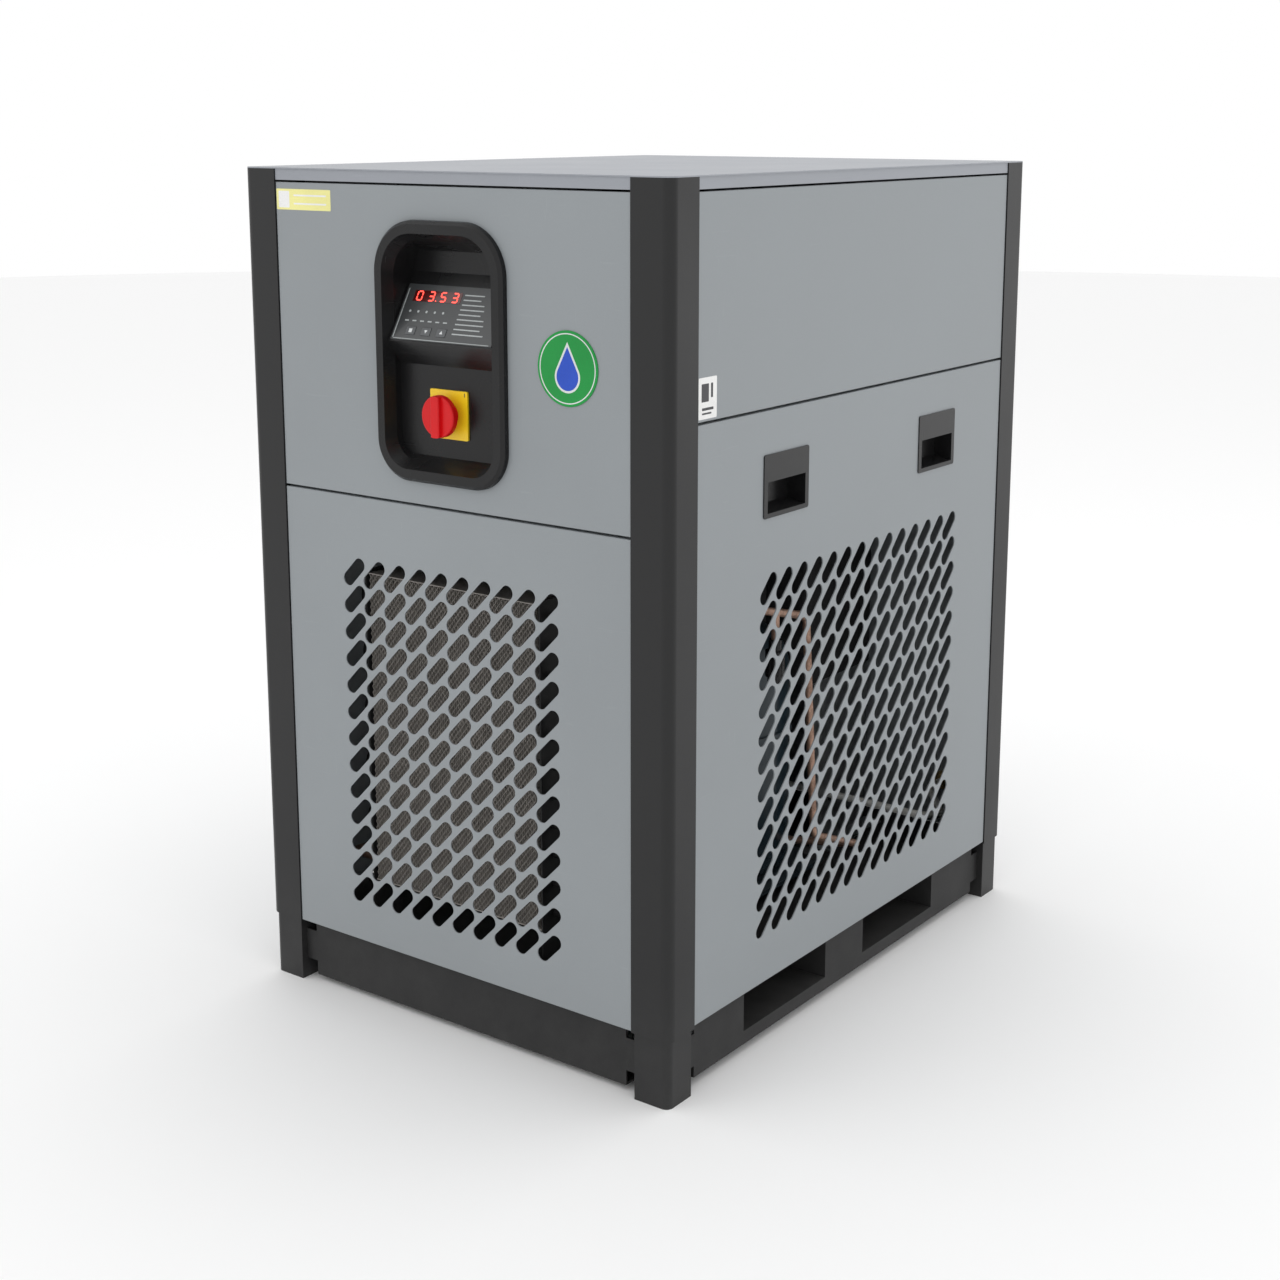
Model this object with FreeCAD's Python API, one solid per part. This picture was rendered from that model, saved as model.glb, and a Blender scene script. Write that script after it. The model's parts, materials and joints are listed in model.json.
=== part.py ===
"""Refrigerated air dryer: a free-standing cabinet that cools compressed air to take the water out of it.

Millimetres. +Z is up, the front with the control panel faces -Y, and the origin is on the floor under the
middle of the cabinet. Four corner posts stand on the floor and carry the base, the cover and the sheet
panels. Inside are the condenser with its fan, the compressor, the heat exchanger and the condensate drain.
"""

import FreeCAD, Part

import math
import os

from FreeCAD import Vector

# ---------------------------------------------------------------- cabinet
WIDTH = 650.0
DEPTH = 835.0
HEIGHT = 1060.0
HALF_W = WIDTH / 2
HALF_D = DEPTH / 2
PROUD = 12.0  # how far the switch knob and the rear ports stand out of the posts' faces

POST_W = 54.0  # post section along X
POST_D = 51.0  # post section along Y
POST_WALL = 2.5
POST_ROUND = 12.0
FLANGE_W = 28.0  # landing strip for the front and rear panels, along each post
FLANGE_T = 2.5
POST_LOW = 84.0
LEG_GAP = 0.3  # between a leg and the post that it slides into
LEG_WALL = 3.0
LEG_FLOOR = 4.0
LEG_REACH = 24.0  # how far a leg stands inside its post
LEG_INSET = POST_WALL + LEG_GAP
INNER_W = HALF_W - POST_W
INNER_D = HALF_D - POST_D

SHEET = 1.5
SETBACK = 1.5  # panel faces lie this far inside the posts' faces
RETURN = 14.0  # depth of the folded edges
EDGE_GAP = 0.5
FRONT_FACE = -HALF_D + SETBACK
REAR_FACE = HALF_D - SETBACK
SIDE_FACE = HALF_W - SETBACK

COVER_SKIRT = 15.0
POST_TOP = HEIGHT - SHEET
UPPER_TOP = HEIGHT - COVER_SKIRT - 2.5
SEAM = 3.0
FRONT_SEAM_Z = 667.0
SIDE_SEAM_Z = 792.0
FRONT_LOW_Z = 84.5
SIDE_LOW_Z = 86.5

# ---------------------------------------------------------------- grilles
SLOT_RISE = 34.6  # from row to row
SLOT_W = 17.8
SLOT_L = 44.0
SLOT_TILT = 45.5
FRONT_SLOTS = (10, 13)  # columns and rows
SIDE_SLOTS = (14, 13)
FRONT_GRILLE = (-3.4, 362.5, 33.9)  # middle X and Z, and the pitch of the columns
SIDE_GRILLE = (5.0, 372.3, 34.3)  # middle Y and Z, and the pitch of the columns

# ---------------------------------------------------------------- base
FRONT_RAIL_LOW = 8.0
SIDE_RAIL_LOW = 12.5
BASE_TOP = 82.0
BASE_SET = 12.0  # the rails stand back from the posts' faces
RAIL_T = 2.5
RAIL_LIP = 30.0
RAIL_END = 16.0  # gap from the rail's web to the line of the post, bridged by a tab
TAB_LOW = 27.0
TAB_HIGH = 68.0
DECK_T = 2.0
FORK_Y = (-150.0, 135.0)
FORK_W = 190.0
FORK_LOW = 29.5
FORK_HIGH = 78.0
TUNNEL_T = 1.5
ANCHOR_X = 200.0
ANCHOR_Y = HALF_D - BASE_SET - 17.0
ANCHOR_R = 5.5

# ---------------------------------------------------------------- handles and catches
HANDLE_Y = 184.0
HANDLE_Z = 702.0
HANDLE_W = 97.0
HANDLE_H = 75.0
HANDLE_DEEP = 26.0
SCREW_R = 2.0
REAR_SCREW_X = 256.0
REAR_SCREW_Z = (110.0, 370.0, 640.0, 694.0, 855.0, 1020.0)
STUD_Y = 335.0
STUD_Z = (130.0, 752.0)
STUD_R = 3.0
STUD_BALL = 4.5
SOCKET_R = 4.7

# ---------------------------------------------------------------- control recess
BEZEL_X = -3.0
BEZEL_Z = 850.0
BEZEL_W = 200.0
BEZEL_H = 308.0
BEZEL_PROUD = 8.5
BEZEL_TOP_R = 62.0
BEZEL_LOW_R = 50.0
RECESS_BACK = -401.0
FASCIA_TILT = 60.0
FASCIA_Y = -420.0
FASCIA_Z = 862.0
FASCIA_W = 156.0
FASCIA_L = 75.0
KEY_X = (-50.0, -26.0, -2.0)
KEY_NAMES = ("set_key", "down_key", "up_key")
KEY_SIZE = (14.0, 10.0)
KEY_V = 14.0
SWITCH_X = -5.0
SWITCH_Z = 778.0
SWITCH_PLATE = 58.0
KNOB_R = 25.0
KNOB_NECK_R = 15.0
KNOB_BAR = 13.0
SHAFT_R = 3.0

BADGE_X = 184.0
BADGE_Z = 848.0
BADGE_R = 42.5

# ---------------------------------------------------------------- condenser and fan
CORE_X = -15.0  # the condenser and its fan stand a little left of the middle
CORE_W = 276.0
CORE_LOW = 163.0
CORE_HIGH = 566.0
CORE_Y = (-396.0, -352.0)
FIN_PITCH = 7.5
FIN_T = 0.6
TUBE_R = 4.8
TUBE_COUNT = 11
FAN_Z = (CORE_LOW + CORE_HIGH) / 2
FAN_R = 126.0
RING_R = 132.0
SHROUD_BACK = -320.0
RING_BACK = -296.0
HUB_R = 36.0
BLADE_Y = (-314.0, -290.0)
MOTOR_Y = (-278.0, -212.0)
MOTOR_R = 42.0

SWITCH_TEE_Y = -142.0
SWITCH_TEE_Z = 530.0

# ---------------------------------------------------------------- compressor
COMP_X = 70.0
COMP_Y = 40.0
COMP_R = 104.0
COMP_LOW = 106.0
COMP_HIGH = 450.0
COMP_WALL = 3.5
COMP_DOME = 66.0
COMP_BASE = 18.0
FOOT_PLATE = 5.0
MOUNT_NECK = 9.0

# ---------------------------------------------------------------- heat exchanger and ports
EXCH_X = 130.0
EXCH_Y = (190.0, 370.0)
EXCH_Z = (330.0, 970.0)
JACKET_T = 12.0
PORT_X = 85.0
PORT_Z = 880.0
PORT_R = 28.3  # core radius of a G 2 thread
PORT_OUT_R = 38.0
PORT_THREAD = 30.0

# ---------------------------------------------------------------- drain
DRAIN_X = 0.0
DRAIN_Y = 280.0
OUTLET_X = 232.0
OUTLET_Z = 150.0
HOSE_Y = 258.0
HOSE_X = 276.0
OUTLET_R = 5.7  # core radius of a G 1/4 thread
OUTLET_THREAD = 11.0
GLAND_X = -190.0
GLAND_Z = 150.0
GLAND_BORE = 7.0


# ================================================================ small helpers
def box(x0, x1, y0, y1, z0, z1):
    """A block between two corners."""
    return Part.makeBox(x1 - x0, y1 - y0, z1 - z0, Vector(x0, y0, z0))


def cyl(radius, start, end):
    """A round bar from one point to another."""
    a, b = Vector(*start), Vector(*end)
    return Part.makeCylinder(radius, (b - a).Length, a, b - a)


def tube(outer, inner, start, end):
    """A round tube from one point to another."""
    return cyl(outer, start, end).cut(cyl(inner, start, end))


def fuse(shapes):
    """One solid from shapes that touch or overlap."""
    return shapes[0].multiFuse(shapes[1:]).removeSplitter()


def mirror_x(shape):
    return shape.mirror(Vector(0, 0, 0), Vector(1, 0, 0))


def mirror_y(shape):
    return shape.mirror(Vector(0, 0, 0), Vector(0, 1, 0))


def group(shapes):
    return Part.Compound(shapes)


def round_edges(shape, radius, chosen):
    """Fillets the edges for which chosen(edge) is true."""
    return shape.makeFillet(radius, [e for e in shape.Edges if chosen(e)])


def upright(edge):
    """True for a straight edge along Z."""
    a, b = edge.Vertexes[0].Point, edge.Vertexes[-1].Point
    return abs(a.x - b.x) < 1e-6 and abs(a.y - b.y) < 1e-6 and abs(a.z - b.z) > 1e-6


def prism_x(points_yz, x0, x1):
    """A profile in the YZ plane, pushed along X."""
    corners = [Vector(x0, y, z) for y, z in points_yz]
    face = Part.Face(Part.makePolygon(corners + corners[:1]))
    return face.extrude(Vector(x1 - x0, 0, 0))


def bent_tube(route, radius, bend):
    """A round line along a route of points, with each corner rounded to the bend radius."""
    points = [Vector(*p) for p in route]
    edges, here = [], points[0]
    for i in range(1, len(points) - 1):
        back = (points[i - 1] - points[i]).normalize()
        ahead = (points[i + 1] - points[i]).normalize()
        turn = math.pi - back.getAngle(ahead)
        reach = bend * math.tan(turn / 2)
        start = points[i] + back * reach
        end = points[i] + ahead * reach
        inward = (back + ahead).normalize()
        middle = points[i] + inward * (bend / math.cos(turn / 2) - bend)
        edges.append(Part.LineSegment(here, start).toShape())
        edges.append(Part.Arc(start, middle, end).toShape())
        here = end
    edges.append(Part.LineSegment(here, points[-1]).toShape())
    first = (points[1] - points[0]).normalize()
    ring = Part.Wire(Part.makeCircle(radius, points[0], first))
    return Part.Wire(edges).makePipeShell([ring], True, False)


# ================================================================ posts, base and frame
def corner_post():
    """Front right post: a hollow section with one rounded outer corner and a landing strip for the panels."""
    low, high = POST_LOW, POST_TOP
    outer = box(INNER_W, HALF_W, -HALF_D, -INNER_D, low, high)
    corner = Vector(HALF_W, -HALF_D, (low + high) / 2)
    outer = round_edges(outer, POST_ROUND, lambda e: upright(e) and e.CenterOfMass.isEqual(corner, 1e-3))
    w = POST_WALL
    inner = box(INNER_W + w, HALF_W - w, -HALF_D + w, -INNER_D - w, low, high)
    corner = Vector(HALF_W - w, -HALF_D + w, (low + high) / 2)
    inner = round_edges(inner, POST_ROUND - w, lambda e: upright(e) and e.CenterOfMass.isEqual(corner, 1e-3))
    landing = FRONT_FACE + RETURN + EDGE_GAP
    flange = box(INNER_W - FLANGE_W, INNER_W + w, landing, landing + FLANGE_T, BASE_TOP + DECK_T + 1, UPPER_TOP)
    return fuse([outer.cut(inner), flange])


def four_corners(shape):
    """The same piece at all four corners."""
    rear = mirror_y(shape)
    return group([shape, mirror_x(shape), rear, mirror_x(rear)])


def corner_posts():
    front = corner_post()
    rear = mirror_y(front)
    for z in REAR_SCREW_Z:
        rear = rear.cut(cyl(SCREW_R + 0.2, (REAR_SCREW_X, HALF_D - 40, z), (REAR_SCREW_X, HALF_D, z)))
    return group([front, mirror_x(front), rear, mirror_x(rear)])


def post_feet():
    """Hollow legs that slide into the posts' lower ends and stand on the floor."""
    high = POST_LOW + LEG_REACH

    def section(inset, low, top):
        x0, x1, y0, y1 = INNER_W + inset, HALF_W - inset, -HALF_D + inset, -INNER_D - inset
        corner = Vector(x1, y0, (low + top) / 2)
        block = box(x0, x1, y0, y1, low, top)
        return round_edges(block, POST_ROUND - inset, lambda e: upright(e) and e.CenterOfMass.isEqual(corner, 1e-3))

    return four_corners(section(LEG_INSET, 0, high).cut(section(LEG_INSET + LEG_WALL, LEG_FLOOR, high)))


def front_rail():
    """Front base rail: a C section whose web reaches each leg with one tab."""
    web_out = -HALF_D + BASE_SET
    half = INNER_W - RAIL_END
    web = box(-half, half, web_out, web_out + RAIL_T, FRONT_RAIL_LOW, BASE_TOP)
    reach = INNER_W + LEG_INSET
    tab = box(-reach, reach, web_out, web_out + RAIL_T, TAB_LOW, TAB_HIGH)
    lips = [
        box(-half, half, web_out, web_out + RAIL_LIP, z, z + RAIL_T)
        for z in (FRONT_RAIL_LOW, BASE_TOP - RAIL_T)
    ]
    rail = fuse([web, tab] + lips)
    for x in (-ANCHOR_X, ANCHOR_X):
        rail = rail.cut(cyl(ANCHOR_R, (x, -ANCHOR_Y, FRONT_RAIL_LOW - 1), (x, -ANCHOR_Y, FRONT_RAIL_LOW + RAIL_T + 1)))
    return rail


def right_rail():
    """Right base rail: a C section with a window for each fork pocket."""
    web_out = HALF_W - BASE_SET
    half = INNER_D - RAIL_END
    web = box(web_out - RAIL_T, web_out, -half, half, SIDE_RAIL_LOW, BASE_TOP)
    reach = INNER_D + LEG_INSET
    tab = box(web_out - RAIL_T, web_out, -reach, reach, TAB_LOW, TAB_HIGH)
    lips = [
        box(web_out - RAIL_LIP, web_out, -half, half, z, z + RAIL_T)
        for z in (SIDE_RAIL_LOW, BASE_TOP - RAIL_T)
    ]
    rail = fuse([web, tab] + lips)
    for y in FORK_Y:
        window = box(web_out - 5, web_out + 5, y - FORK_W / 2, y + FORK_W / 2, FORK_LOW, FORK_HIGH)
        rail = rail.cut(window)
    return rail


def base_rails():
    front, right = front_rail(), right_rail()
    return group([front, mirror_y(front), right, mirror_x(right)])


def base_deck():
    """Floor plate with the two fork tunnels under it."""
    reach_x = HALF_W - BASE_SET - RAIL_T
    reach_y = HALF_D - BASE_SET - RAIL_T
    plate = fuse([
        box(-reach_x, reach_x, -INNER_D + 1, INNER_D - 1, BASE_TOP, BASE_TOP + DECK_T),
        box(-INNER_W + 1, INNER_W - 1, -reach_y, reach_y, BASE_TOP, BASE_TOP + DECK_T),
    ])
    tunnels = []
    for y in FORK_Y:
        half, t = FORK_W / 2, TUNNEL_T
        outer = box(-reach_x, reach_x, y - half - t, y + half + t, FORK_LOW - t, FORK_HIGH + t)
        tunnels.append(outer.cut(box(-reach_x, reach_x, y - half, y + half, FORK_LOW, FORK_HIGH)))
    return group([plate] + tunnels)


def cross_rails():
    """Box sections between the posts, behind the seams of the panels."""
    depth, height, wall = 20.0, 26.0, 2.0
    y = FRONT_FACE + RETURN + EDGE_GAP + FLANGE_T + 0.5
    z = FRONT_SEAM_Z - height / 2
    front = box(-INNER_W, INNER_W, y, y + depth, z, z + height)
    front = front.cut(box(-INNER_W, INNER_W, y + wall, y + depth - wall, z + wall, z + height - wall))
    x = SIDE_FACE - RETURN - EDGE_GAP
    z = SIDE_SEAM_Z - height / 2
    right = box(x - depth, x, -INNER_D, INNER_D, z, z + height)
    right = right.cut(box(x - depth + wall, x - wall, -INNER_D, INNER_D, z + wall, z + height - wall))
    return group([front, mirror_y(front), right, mirror_x(right)])


# ================================================================ casing
def top_cover():
    """Cover plate over the posts, with a skirt between each pair of posts."""
    plate = box(-HALF_W, HALF_W, -HALF_D, HALF_D, POST_TOP, HEIGHT)
    plate = round_edges(plate, POST_ROUND, upright)
    low = HEIGHT - COVER_SKIRT
    half_x, half_y = INNER_W - EDGE_GAP, INNER_D - EDGE_GAP
    front = box(-half_x, half_x, FRONT_FACE, FRONT_FACE + SHEET, low, POST_TOP)
    right = box(SIDE_FACE - SHEET, SIDE_FACE, -half_y, half_y, low, POST_TOP)
    return fuse([plate, front, mirror_y(front), right, mirror_x(right)])


def front_tray(low, high):
    """A front panel: a sheet with folded edges, open to the back."""
    half = INNER_W - EDGE_GAP
    outer = box(-half, half, FRONT_FACE, FRONT_FACE + RETURN, low, high)
    outer = round_edges(outer, 1.2, lambda e: abs(e.BoundBox.YMax - FRONT_FACE) < 1e-6)
    inner = box(-half + SHEET, half - SHEET, FRONT_FACE + SHEET, FRONT_FACE + RETURN, low + SHEET, high - SHEET)
    return outer.cut(inner)


def side_tray(low, high):
    """A right side panel: a sheet with folded edges, open to the inside."""
    half = INNER_D - EDGE_GAP
    outer = box(SIDE_FACE - RETURN, SIDE_FACE, -half, half, low, high)
    outer = round_edges(outer, 1.2, lambda e: abs(e.BoundBox.XMin - SIDE_FACE) < 1e-6)
    inner = box(SIDE_FACE - RETURN, SIDE_FACE - SHEET, -half + SHEET, half - SHEET, low + SHEET, high - SHEET)
    return outer.cut(inner)


def slot_outline():
    """One slanted slot in its own plane, as a closed wire about the origin."""
    r, half = SLOT_W / 2, (SLOT_L - SLOT_W) / 2
    side_a = Part.LineSegment(Vector(-half, -r, 0), Vector(half, -r, 0)).toShape()
    end_a = Part.Arc(Vector(half, -r, 0), Vector(half + r, 0, 0), Vector(half, r, 0)).toShape()
    side_b = Part.LineSegment(Vector(half, r, 0), Vector(-half, r, 0)).toShape()
    end_b = Part.Arc(Vector(-half, r, 0), Vector(-half - r, 0, 0), Vector(-half, -r, 0)).toShape()
    return Part.Wire([side_a, end_a, side_b, end_b])


def slot_field(columns, rows, middle, middle_z, pitch, along_x):
    """Cutters for a grille: a grid of slots that lean to the right as seen from outside."""
    wire = slot_outline()
    wire.rotate(Vector(0, 0, 0), Vector(0, 0, 1), SLOT_TILT)
    wire.rotate(Vector(0, 0, 0), Vector(1, 0, 0), 90)
    push = Vector(0, 6, 0)
    if not along_x:
        wire.rotate(Vector(0, 0, 0), Vector(0, 0, 1), 90)
        push = Vector(-6, 0, 0)
    cutter = Part.Face(wire).extrude(push)
    cutters = []
    for column in range(columns):
        for row in range(rows):
            across = middle + (column - (columns - 1) / 2) * pitch
            up = middle_z + (row - (rows - 1) / 2) * SLOT_RISE
            place = Vector(across, FRONT_FACE - 2, up) if along_x else Vector(SIDE_FACE + 2, across, up)
            cutters.append(cutter.translated(place))
    return group(cutters)


def bezel_outline(y, width, height, top_r, low_r):
    """The control recess's outline at depth y: a rounded rectangle with larger radii at the top."""
    x0, x1 = BEZEL_X - width / 2, BEZEL_X + width / 2
    z0, z1 = BEZEL_Z - height / 2, BEZEL_Z + height / 2
    k = math.sqrt(0.5)
    p = lambda x, z: Vector(x, y, z)
    edges = [
        Part.LineSegment(p(x0 + low_r, z0), p(x1 - low_r, z0)).toShape(),
        Part.Arc(p(x1 - low_r, z0), p(x1 - low_r * (1 - k), z0 + low_r * (1 - k)), p(x1, z0 + low_r)).toShape(),
        Part.LineSegment(p(x1, z0 + low_r), p(x1, z1 - top_r)).toShape(),
        Part.Arc(p(x1, z1 - top_r), p(x1 - top_r * (1 - k), z1 - top_r * (1 - k)), p(x1 - top_r, z1)).toShape(),
        Part.LineSegment(p(x1 - top_r, z1), p(x0 + top_r, z1)).toShape(),
        Part.Arc(p(x0 + top_r, z1), p(x0 + top_r * (1 - k), z1 - top_r * (1 - k)), p(x0, z1 - top_r)).toShape(),
        Part.LineSegment(p(x0, z1 - top_r), p(x0, z0 + low_r)).toShape(),
        Part.Arc(p(x0, z0 + low_r), p(x0 + low_r * (1 - k), z0 + low_r * (1 - k)), p(x0 + low_r, z0)).toShape(),
    ]
    return Part.Wire(edges)


def front_upper_panel():
    panel = front_tray(FRONT_SEAM_Z + SEAM / 2, UPPER_TOP)
    hole = Part.Face(bezel_outline(FRONT_FACE - 1, 172, 280, 48, 36)).extrude(Vector(0, 5, 0))
    return panel.cut(hole)


def front_lower_panel():
    panel = front_tray(FRONT_LOW_Z, FRONT_SEAM_Z - SEAM / 2)
    return panel.cut(slot_field(*FRONT_SLOTS, *FRONT_GRILLE, True))


def round_badge():
    """Round plastic badge glued to the upper front panel."""
    badge = cyl(BADGE_R, (BADGE_X, FRONT_FACE, BADGE_Z), (BADGE_X, FRONT_FACE - 1.2, BADGE_Z))
    return round_edges(badge, 0.5, lambda e: abs(e.BoundBox.YMax - FRONT_FACE + 1.2) < 1e-6)


def rear_upper_panel():
    panel = mirror_y(front_tray(FRONT_SEAM_Z + SEAM / 2, UPPER_TOP))
    for x in (-PORT_X, PORT_X):
        panel = panel.cut(cyl(PORT_OUT_R + 1.5, (x, REAR_FACE - 5, PORT_Z), (x, REAR_FACE + 5, PORT_Z)))
    return rear_holes(panel)


def rear_lower_panel():
    panel = mirror_y(front_tray(FRONT_LOW_Z, FRONT_SEAM_Z - SEAM / 2))
    panel = panel.cut(cyl(9.2, (OUTLET_X, REAR_FACE - 5, OUTLET_Z), (OUTLET_X, REAR_FACE + 5, OUTLET_Z)))
    panel = panel.cut(cyl(12.2, (GLAND_X, REAR_FACE - 5, GLAND_Z), (GLAND_X, REAR_FACE + 5, GLAND_Z)))
    return rear_holes(panel)


def right_upper_panel():
    return side_tray(SIDE_SEAM_Z + SEAM / 2, UPPER_TOP)


def lower_side_panel():
    """Removable side panel with the openings for its two flush pulls."""
    panel = side_tray(SIDE_LOW_Z, SIDE_SEAM_Z - SEAM / 2)
    half_w, half_h = HANDLE_W / 2 - 4, HANDLE_H / 2 - 3
    for y in (-HANDLE_Y, HANDLE_Y):
        cut = box(SIDE_FACE - 5, SIDE_FACE + 5, y - half_w, y + half_w, HANDLE_Z - half_h, HANDLE_Z + half_h)
        panel = panel.cut(cut)
    return panel


def right_lower_panel():
    return lower_side_panel().cut(slot_field(*SIDE_SLOTS, *SIDE_GRILLE, False))


def right_handle(y):
    """Flush pull: a frame with a pocket behind it and a grip lip across its upper part."""
    face, back = SIDE_FACE, SIDE_FACE - HANDLE_DEEP
    half_w, half_h = HANDLE_W / 2, HANDLE_H / 2
    frame = box(face, face + SETBACK, y - half_w, y + half_w, HANDLE_Z - half_h, HANDLE_Z + half_h)
    frame = round_edges(frame, 3.0, lambda e: abs(e.BoundBox.XLength - SETBACK) < 1e-6)
    body = box(back, face, y - half_w + 4.5, y + half_w - 4.5, HANDLE_Z - half_h + 3.5, HANDLE_Z + half_h - 3.5)
    grip = face + SETBACK - 5
    deep = back + 3
    pocket = Part.Face(Part.makePolygon([
        Vector(face + 3, y - 41, HANDLE_Z - 32),
        Vector(face + SETBACK, y - 41, HANDLE_Z - 32),
        Vector(deep, y - 41, HANDLE_Z - 26),
        Vector(deep, y - 41, HANDLE_Z + 31),
        Vector(grip, y - 41, HANDLE_Z + 31),
        Vector(grip, y - 41, HANDLE_Z + 5),
        Vector(face + 3, y - 41, HANDLE_Z + 5),
        Vector(face + 3, y - 41, HANDLE_Z - 32),
    ])).extrude(Vector(0, 82, 0))
    return fuse([frame, body]).cut(pocket)


def right_handles():
    return group([right_handle(y) for y in (-HANDLE_Y, HANDLE_Y)])


def right_panel_studs():
    """Ball studs on the panel's back, which snap into the sockets on the posts."""
    studs = []
    inner = SIDE_FACE - SHEET
    for y in (-STUD_Y, STUD_Y):
        for z in STUD_Z:
            base = cyl(10, (inner, y, z), (inner - 2.5, y, z))
            stem = cyl(STUD_R, (inner - 2, y, z), (inner - 24, y, z))
            ball = Part.makeSphere(STUD_BALL, Vector(inner - 24, y, z), Vector(1, 0, 0))
            studs.append(fuse([base, stem, ball]))
    return group(studs)


def panel_sockets():
    """Plastic blocks on the posts that hold the studs of the removable side panels."""
    blocks = []
    for z in STUD_Z:
        outer = SIDE_FACE - RETURN - 1
        block = box(outer - 24, outer, STUD_Y - 16, INNER_D, z - 15, z + 15)
        block = block.cut(cyl(SOCKET_R, (outer + 1, STUD_Y, z), (outer - 20, STUD_Y, z)))
        blocks += [block, mirror_y(block)]
    return group(blocks + [mirror_x(b) for b in blocks])


def rear_holes(panel):
    """Drills the screw holes of a rear panel."""
    for x in (-REAR_SCREW_X, REAR_SCREW_X):
        for z in REAR_SCREW_Z:
            panel = panel.cut(cyl(SCREW_R + 0.2, (x, REAR_FACE - 5, z), (x, REAR_FACE + 5, z)))
    return panel


def rear_screws():
    """Pan-head screws that hold the rear panels to the strips along the posts."""
    screws = []
    head_h, slot = 1.4, 0.5
    for x in (-REAR_SCREW_X, REAR_SCREW_X):
        for z in REAR_SCREW_Z:
            head = cyl(5, (x, REAR_FACE, z), (x, REAR_FACE + head_h, z))
            head = round_edges(head, 1.0, lambda e: abs(e.BoundBox.YMin - REAR_FACE - head_h) < 1e-6)
            shank = cyl(SCREW_R, (x, REAR_FACE - 20, z), (x, REAR_FACE + 0.5, z))
            y0, y1 = REAR_FACE + head_h - 0.9, REAR_FACE + 2
            cross = fuse([box(x - 3, x + 3, y0, y1, z - slot, z + slot), box(x - slot, x + slot, y0, y1, z - 3, z + 3)])
            screws.append(fuse([head, shank]).cut(cross))
    return group(screws)


# ================================================================ control recess
def tilted(shape):
    """Moves a shape from the fascia's own plane to its place: X across, Y up the slope, Z out of it."""
    shape.rotate(Vector(0, 0, 0), Vector(1, 0, 0), FASCIA_TILT)
    shape.translate(Vector(BEZEL_X, FASCIA_Y, FASCIA_Z))
    return shape


def control_bezel():
    """Moulded recess: a rounded rim, a funnel, a slanted seat for the controller and a wall for the switch."""
    rim_back = FRONT_FACE
    rim_front = FRONT_FACE - BEZEL_PROUD - 1.5
    rim = Part.makeLoft([
        bezel_outline(rim_back, BEZEL_W, BEZEL_H, BEZEL_TOP_R, BEZEL_LOW_R),
        bezel_outline(rim_front + 4, BEZEL_W - 1.5, BEZEL_H - 1.5, BEZEL_TOP_R - 0.8, BEZEL_LOW_R - 0.8),
        bezel_outline(rim_front, BEZEL_W - 9, BEZEL_H - 9, BEZEL_TOP_R - 4.5, BEZEL_LOW_R - 4.5),
    ], True, True)
    tub_x0, tub_x1 = BEZEL_X - 78, BEZEL_X + 78
    tub = Part.Face(bezel_outline(FRONT_FACE, 168, 276, 46, 34)).extrude(Vector(0, 52, 0))
    body = fuse([rim, tub])
    funnel = Part.makeLoft([
        bezel_outline(rim_front - 1, BEZEL_W - 30, BEZEL_H - 30, BEZEL_TOP_R - 15, BEZEL_LOW_R - 15),
        bezel_outline(FRONT_FACE + 6, BEZEL_W - 40, BEZEL_H - 48, BEZEL_TOP_R - 20, BEZEL_LOW_R - 20),
    ], True, True)
    run, rise = math.cos(math.radians(FASCIA_TILT)), math.sin(math.radians(FASCIA_TILT))
    top_y = FASCIA_Y + run * (FASCIA_L + 16)
    top_z = FASCIA_Z + rise * (FASCIA_L + 16)
    wall = 3.0
    seat = prism_x([
        (FASCIA_Y, FASCIA_Z),
        (top_y, top_z),
        (top_y + 8, top_z),
        (-364, top_z),
        (-364, 834),
        (RECESS_BACK, 834),
    ], BEZEL_X - 82, BEZEL_X + 82)
    cavity_low, cavity_high = BEZEL_Z - (BEZEL_H - 48) / 2, BEZEL_Z + (BEZEL_H - 48) / 2
    cavity = prism_x([
        (-432, cavity_low - 4),
        (FRONT_FACE + 6, cavity_low),
        (RECESS_BACK, cavity_low + 6),
        (RECESS_BACK, 834),
        (FASCIA_Y + 1, FASCIA_Z - 2),
        (FASCIA_Y, FASCIA_Z),
        (top_y, top_z),
        (top_y, cavity_high - 14),
        (FRONT_FACE + 6, cavity_high),
        (-432, cavity_high + 2),
    ], BEZEL_X - (BEZEL_W - 40) / 2, BEZEL_X + (BEZEL_W - 40) / 2)
    inside = bezel_outline(-436, BEZEL_W - 40, BEZEL_H - 48, BEZEL_TOP_R - 20, BEZEL_LOW_R - 20)
    cavity = cavity.common(Part.Face(inside).extrude(Vector(0, 80, 0)))
    seat_solid = seat.common(Part.Face(bezel_outline(-428, 168, 276, 46, 34)).extrude(Vector(0, 64, 0)))
    shell = body.cut(funnel).cut(cavity)
    shell = fuse([shell, seat_solid])
    # hollow behind the walls, so the moulding has an even thickness
    behind_low = box(tub_x0 + wall, tub_x1 - wall, RECESS_BACK + wall, -360, cavity_low + 12, 830)
    behind_seat = prism_x([
        (FASCIA_Y + 8.5, FASCIA_Z - 8),
        (top_y + 1.5, top_z - 5.5),
        (-360, top_z - 5.5),
        (-360, 838),
        (RECESS_BACK + 7, 838),
    ], tub_x0 + 5, tub_x1 - 5)
    shell = shell.cut(behind_low).cut(behind_seat)
    window = tilted(box(-69, 69, 6, 70, -14, 1))
    shell = shell.cut(window)
    shaft_hole = cyl(6, (SWITCH_X, RECESS_BACK - 1, SWITCH_Z), (SWITCH_X, RECESS_BACK + wall + 1, SWITCH_Z))
    return shell.cut(shaft_hole)


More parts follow.
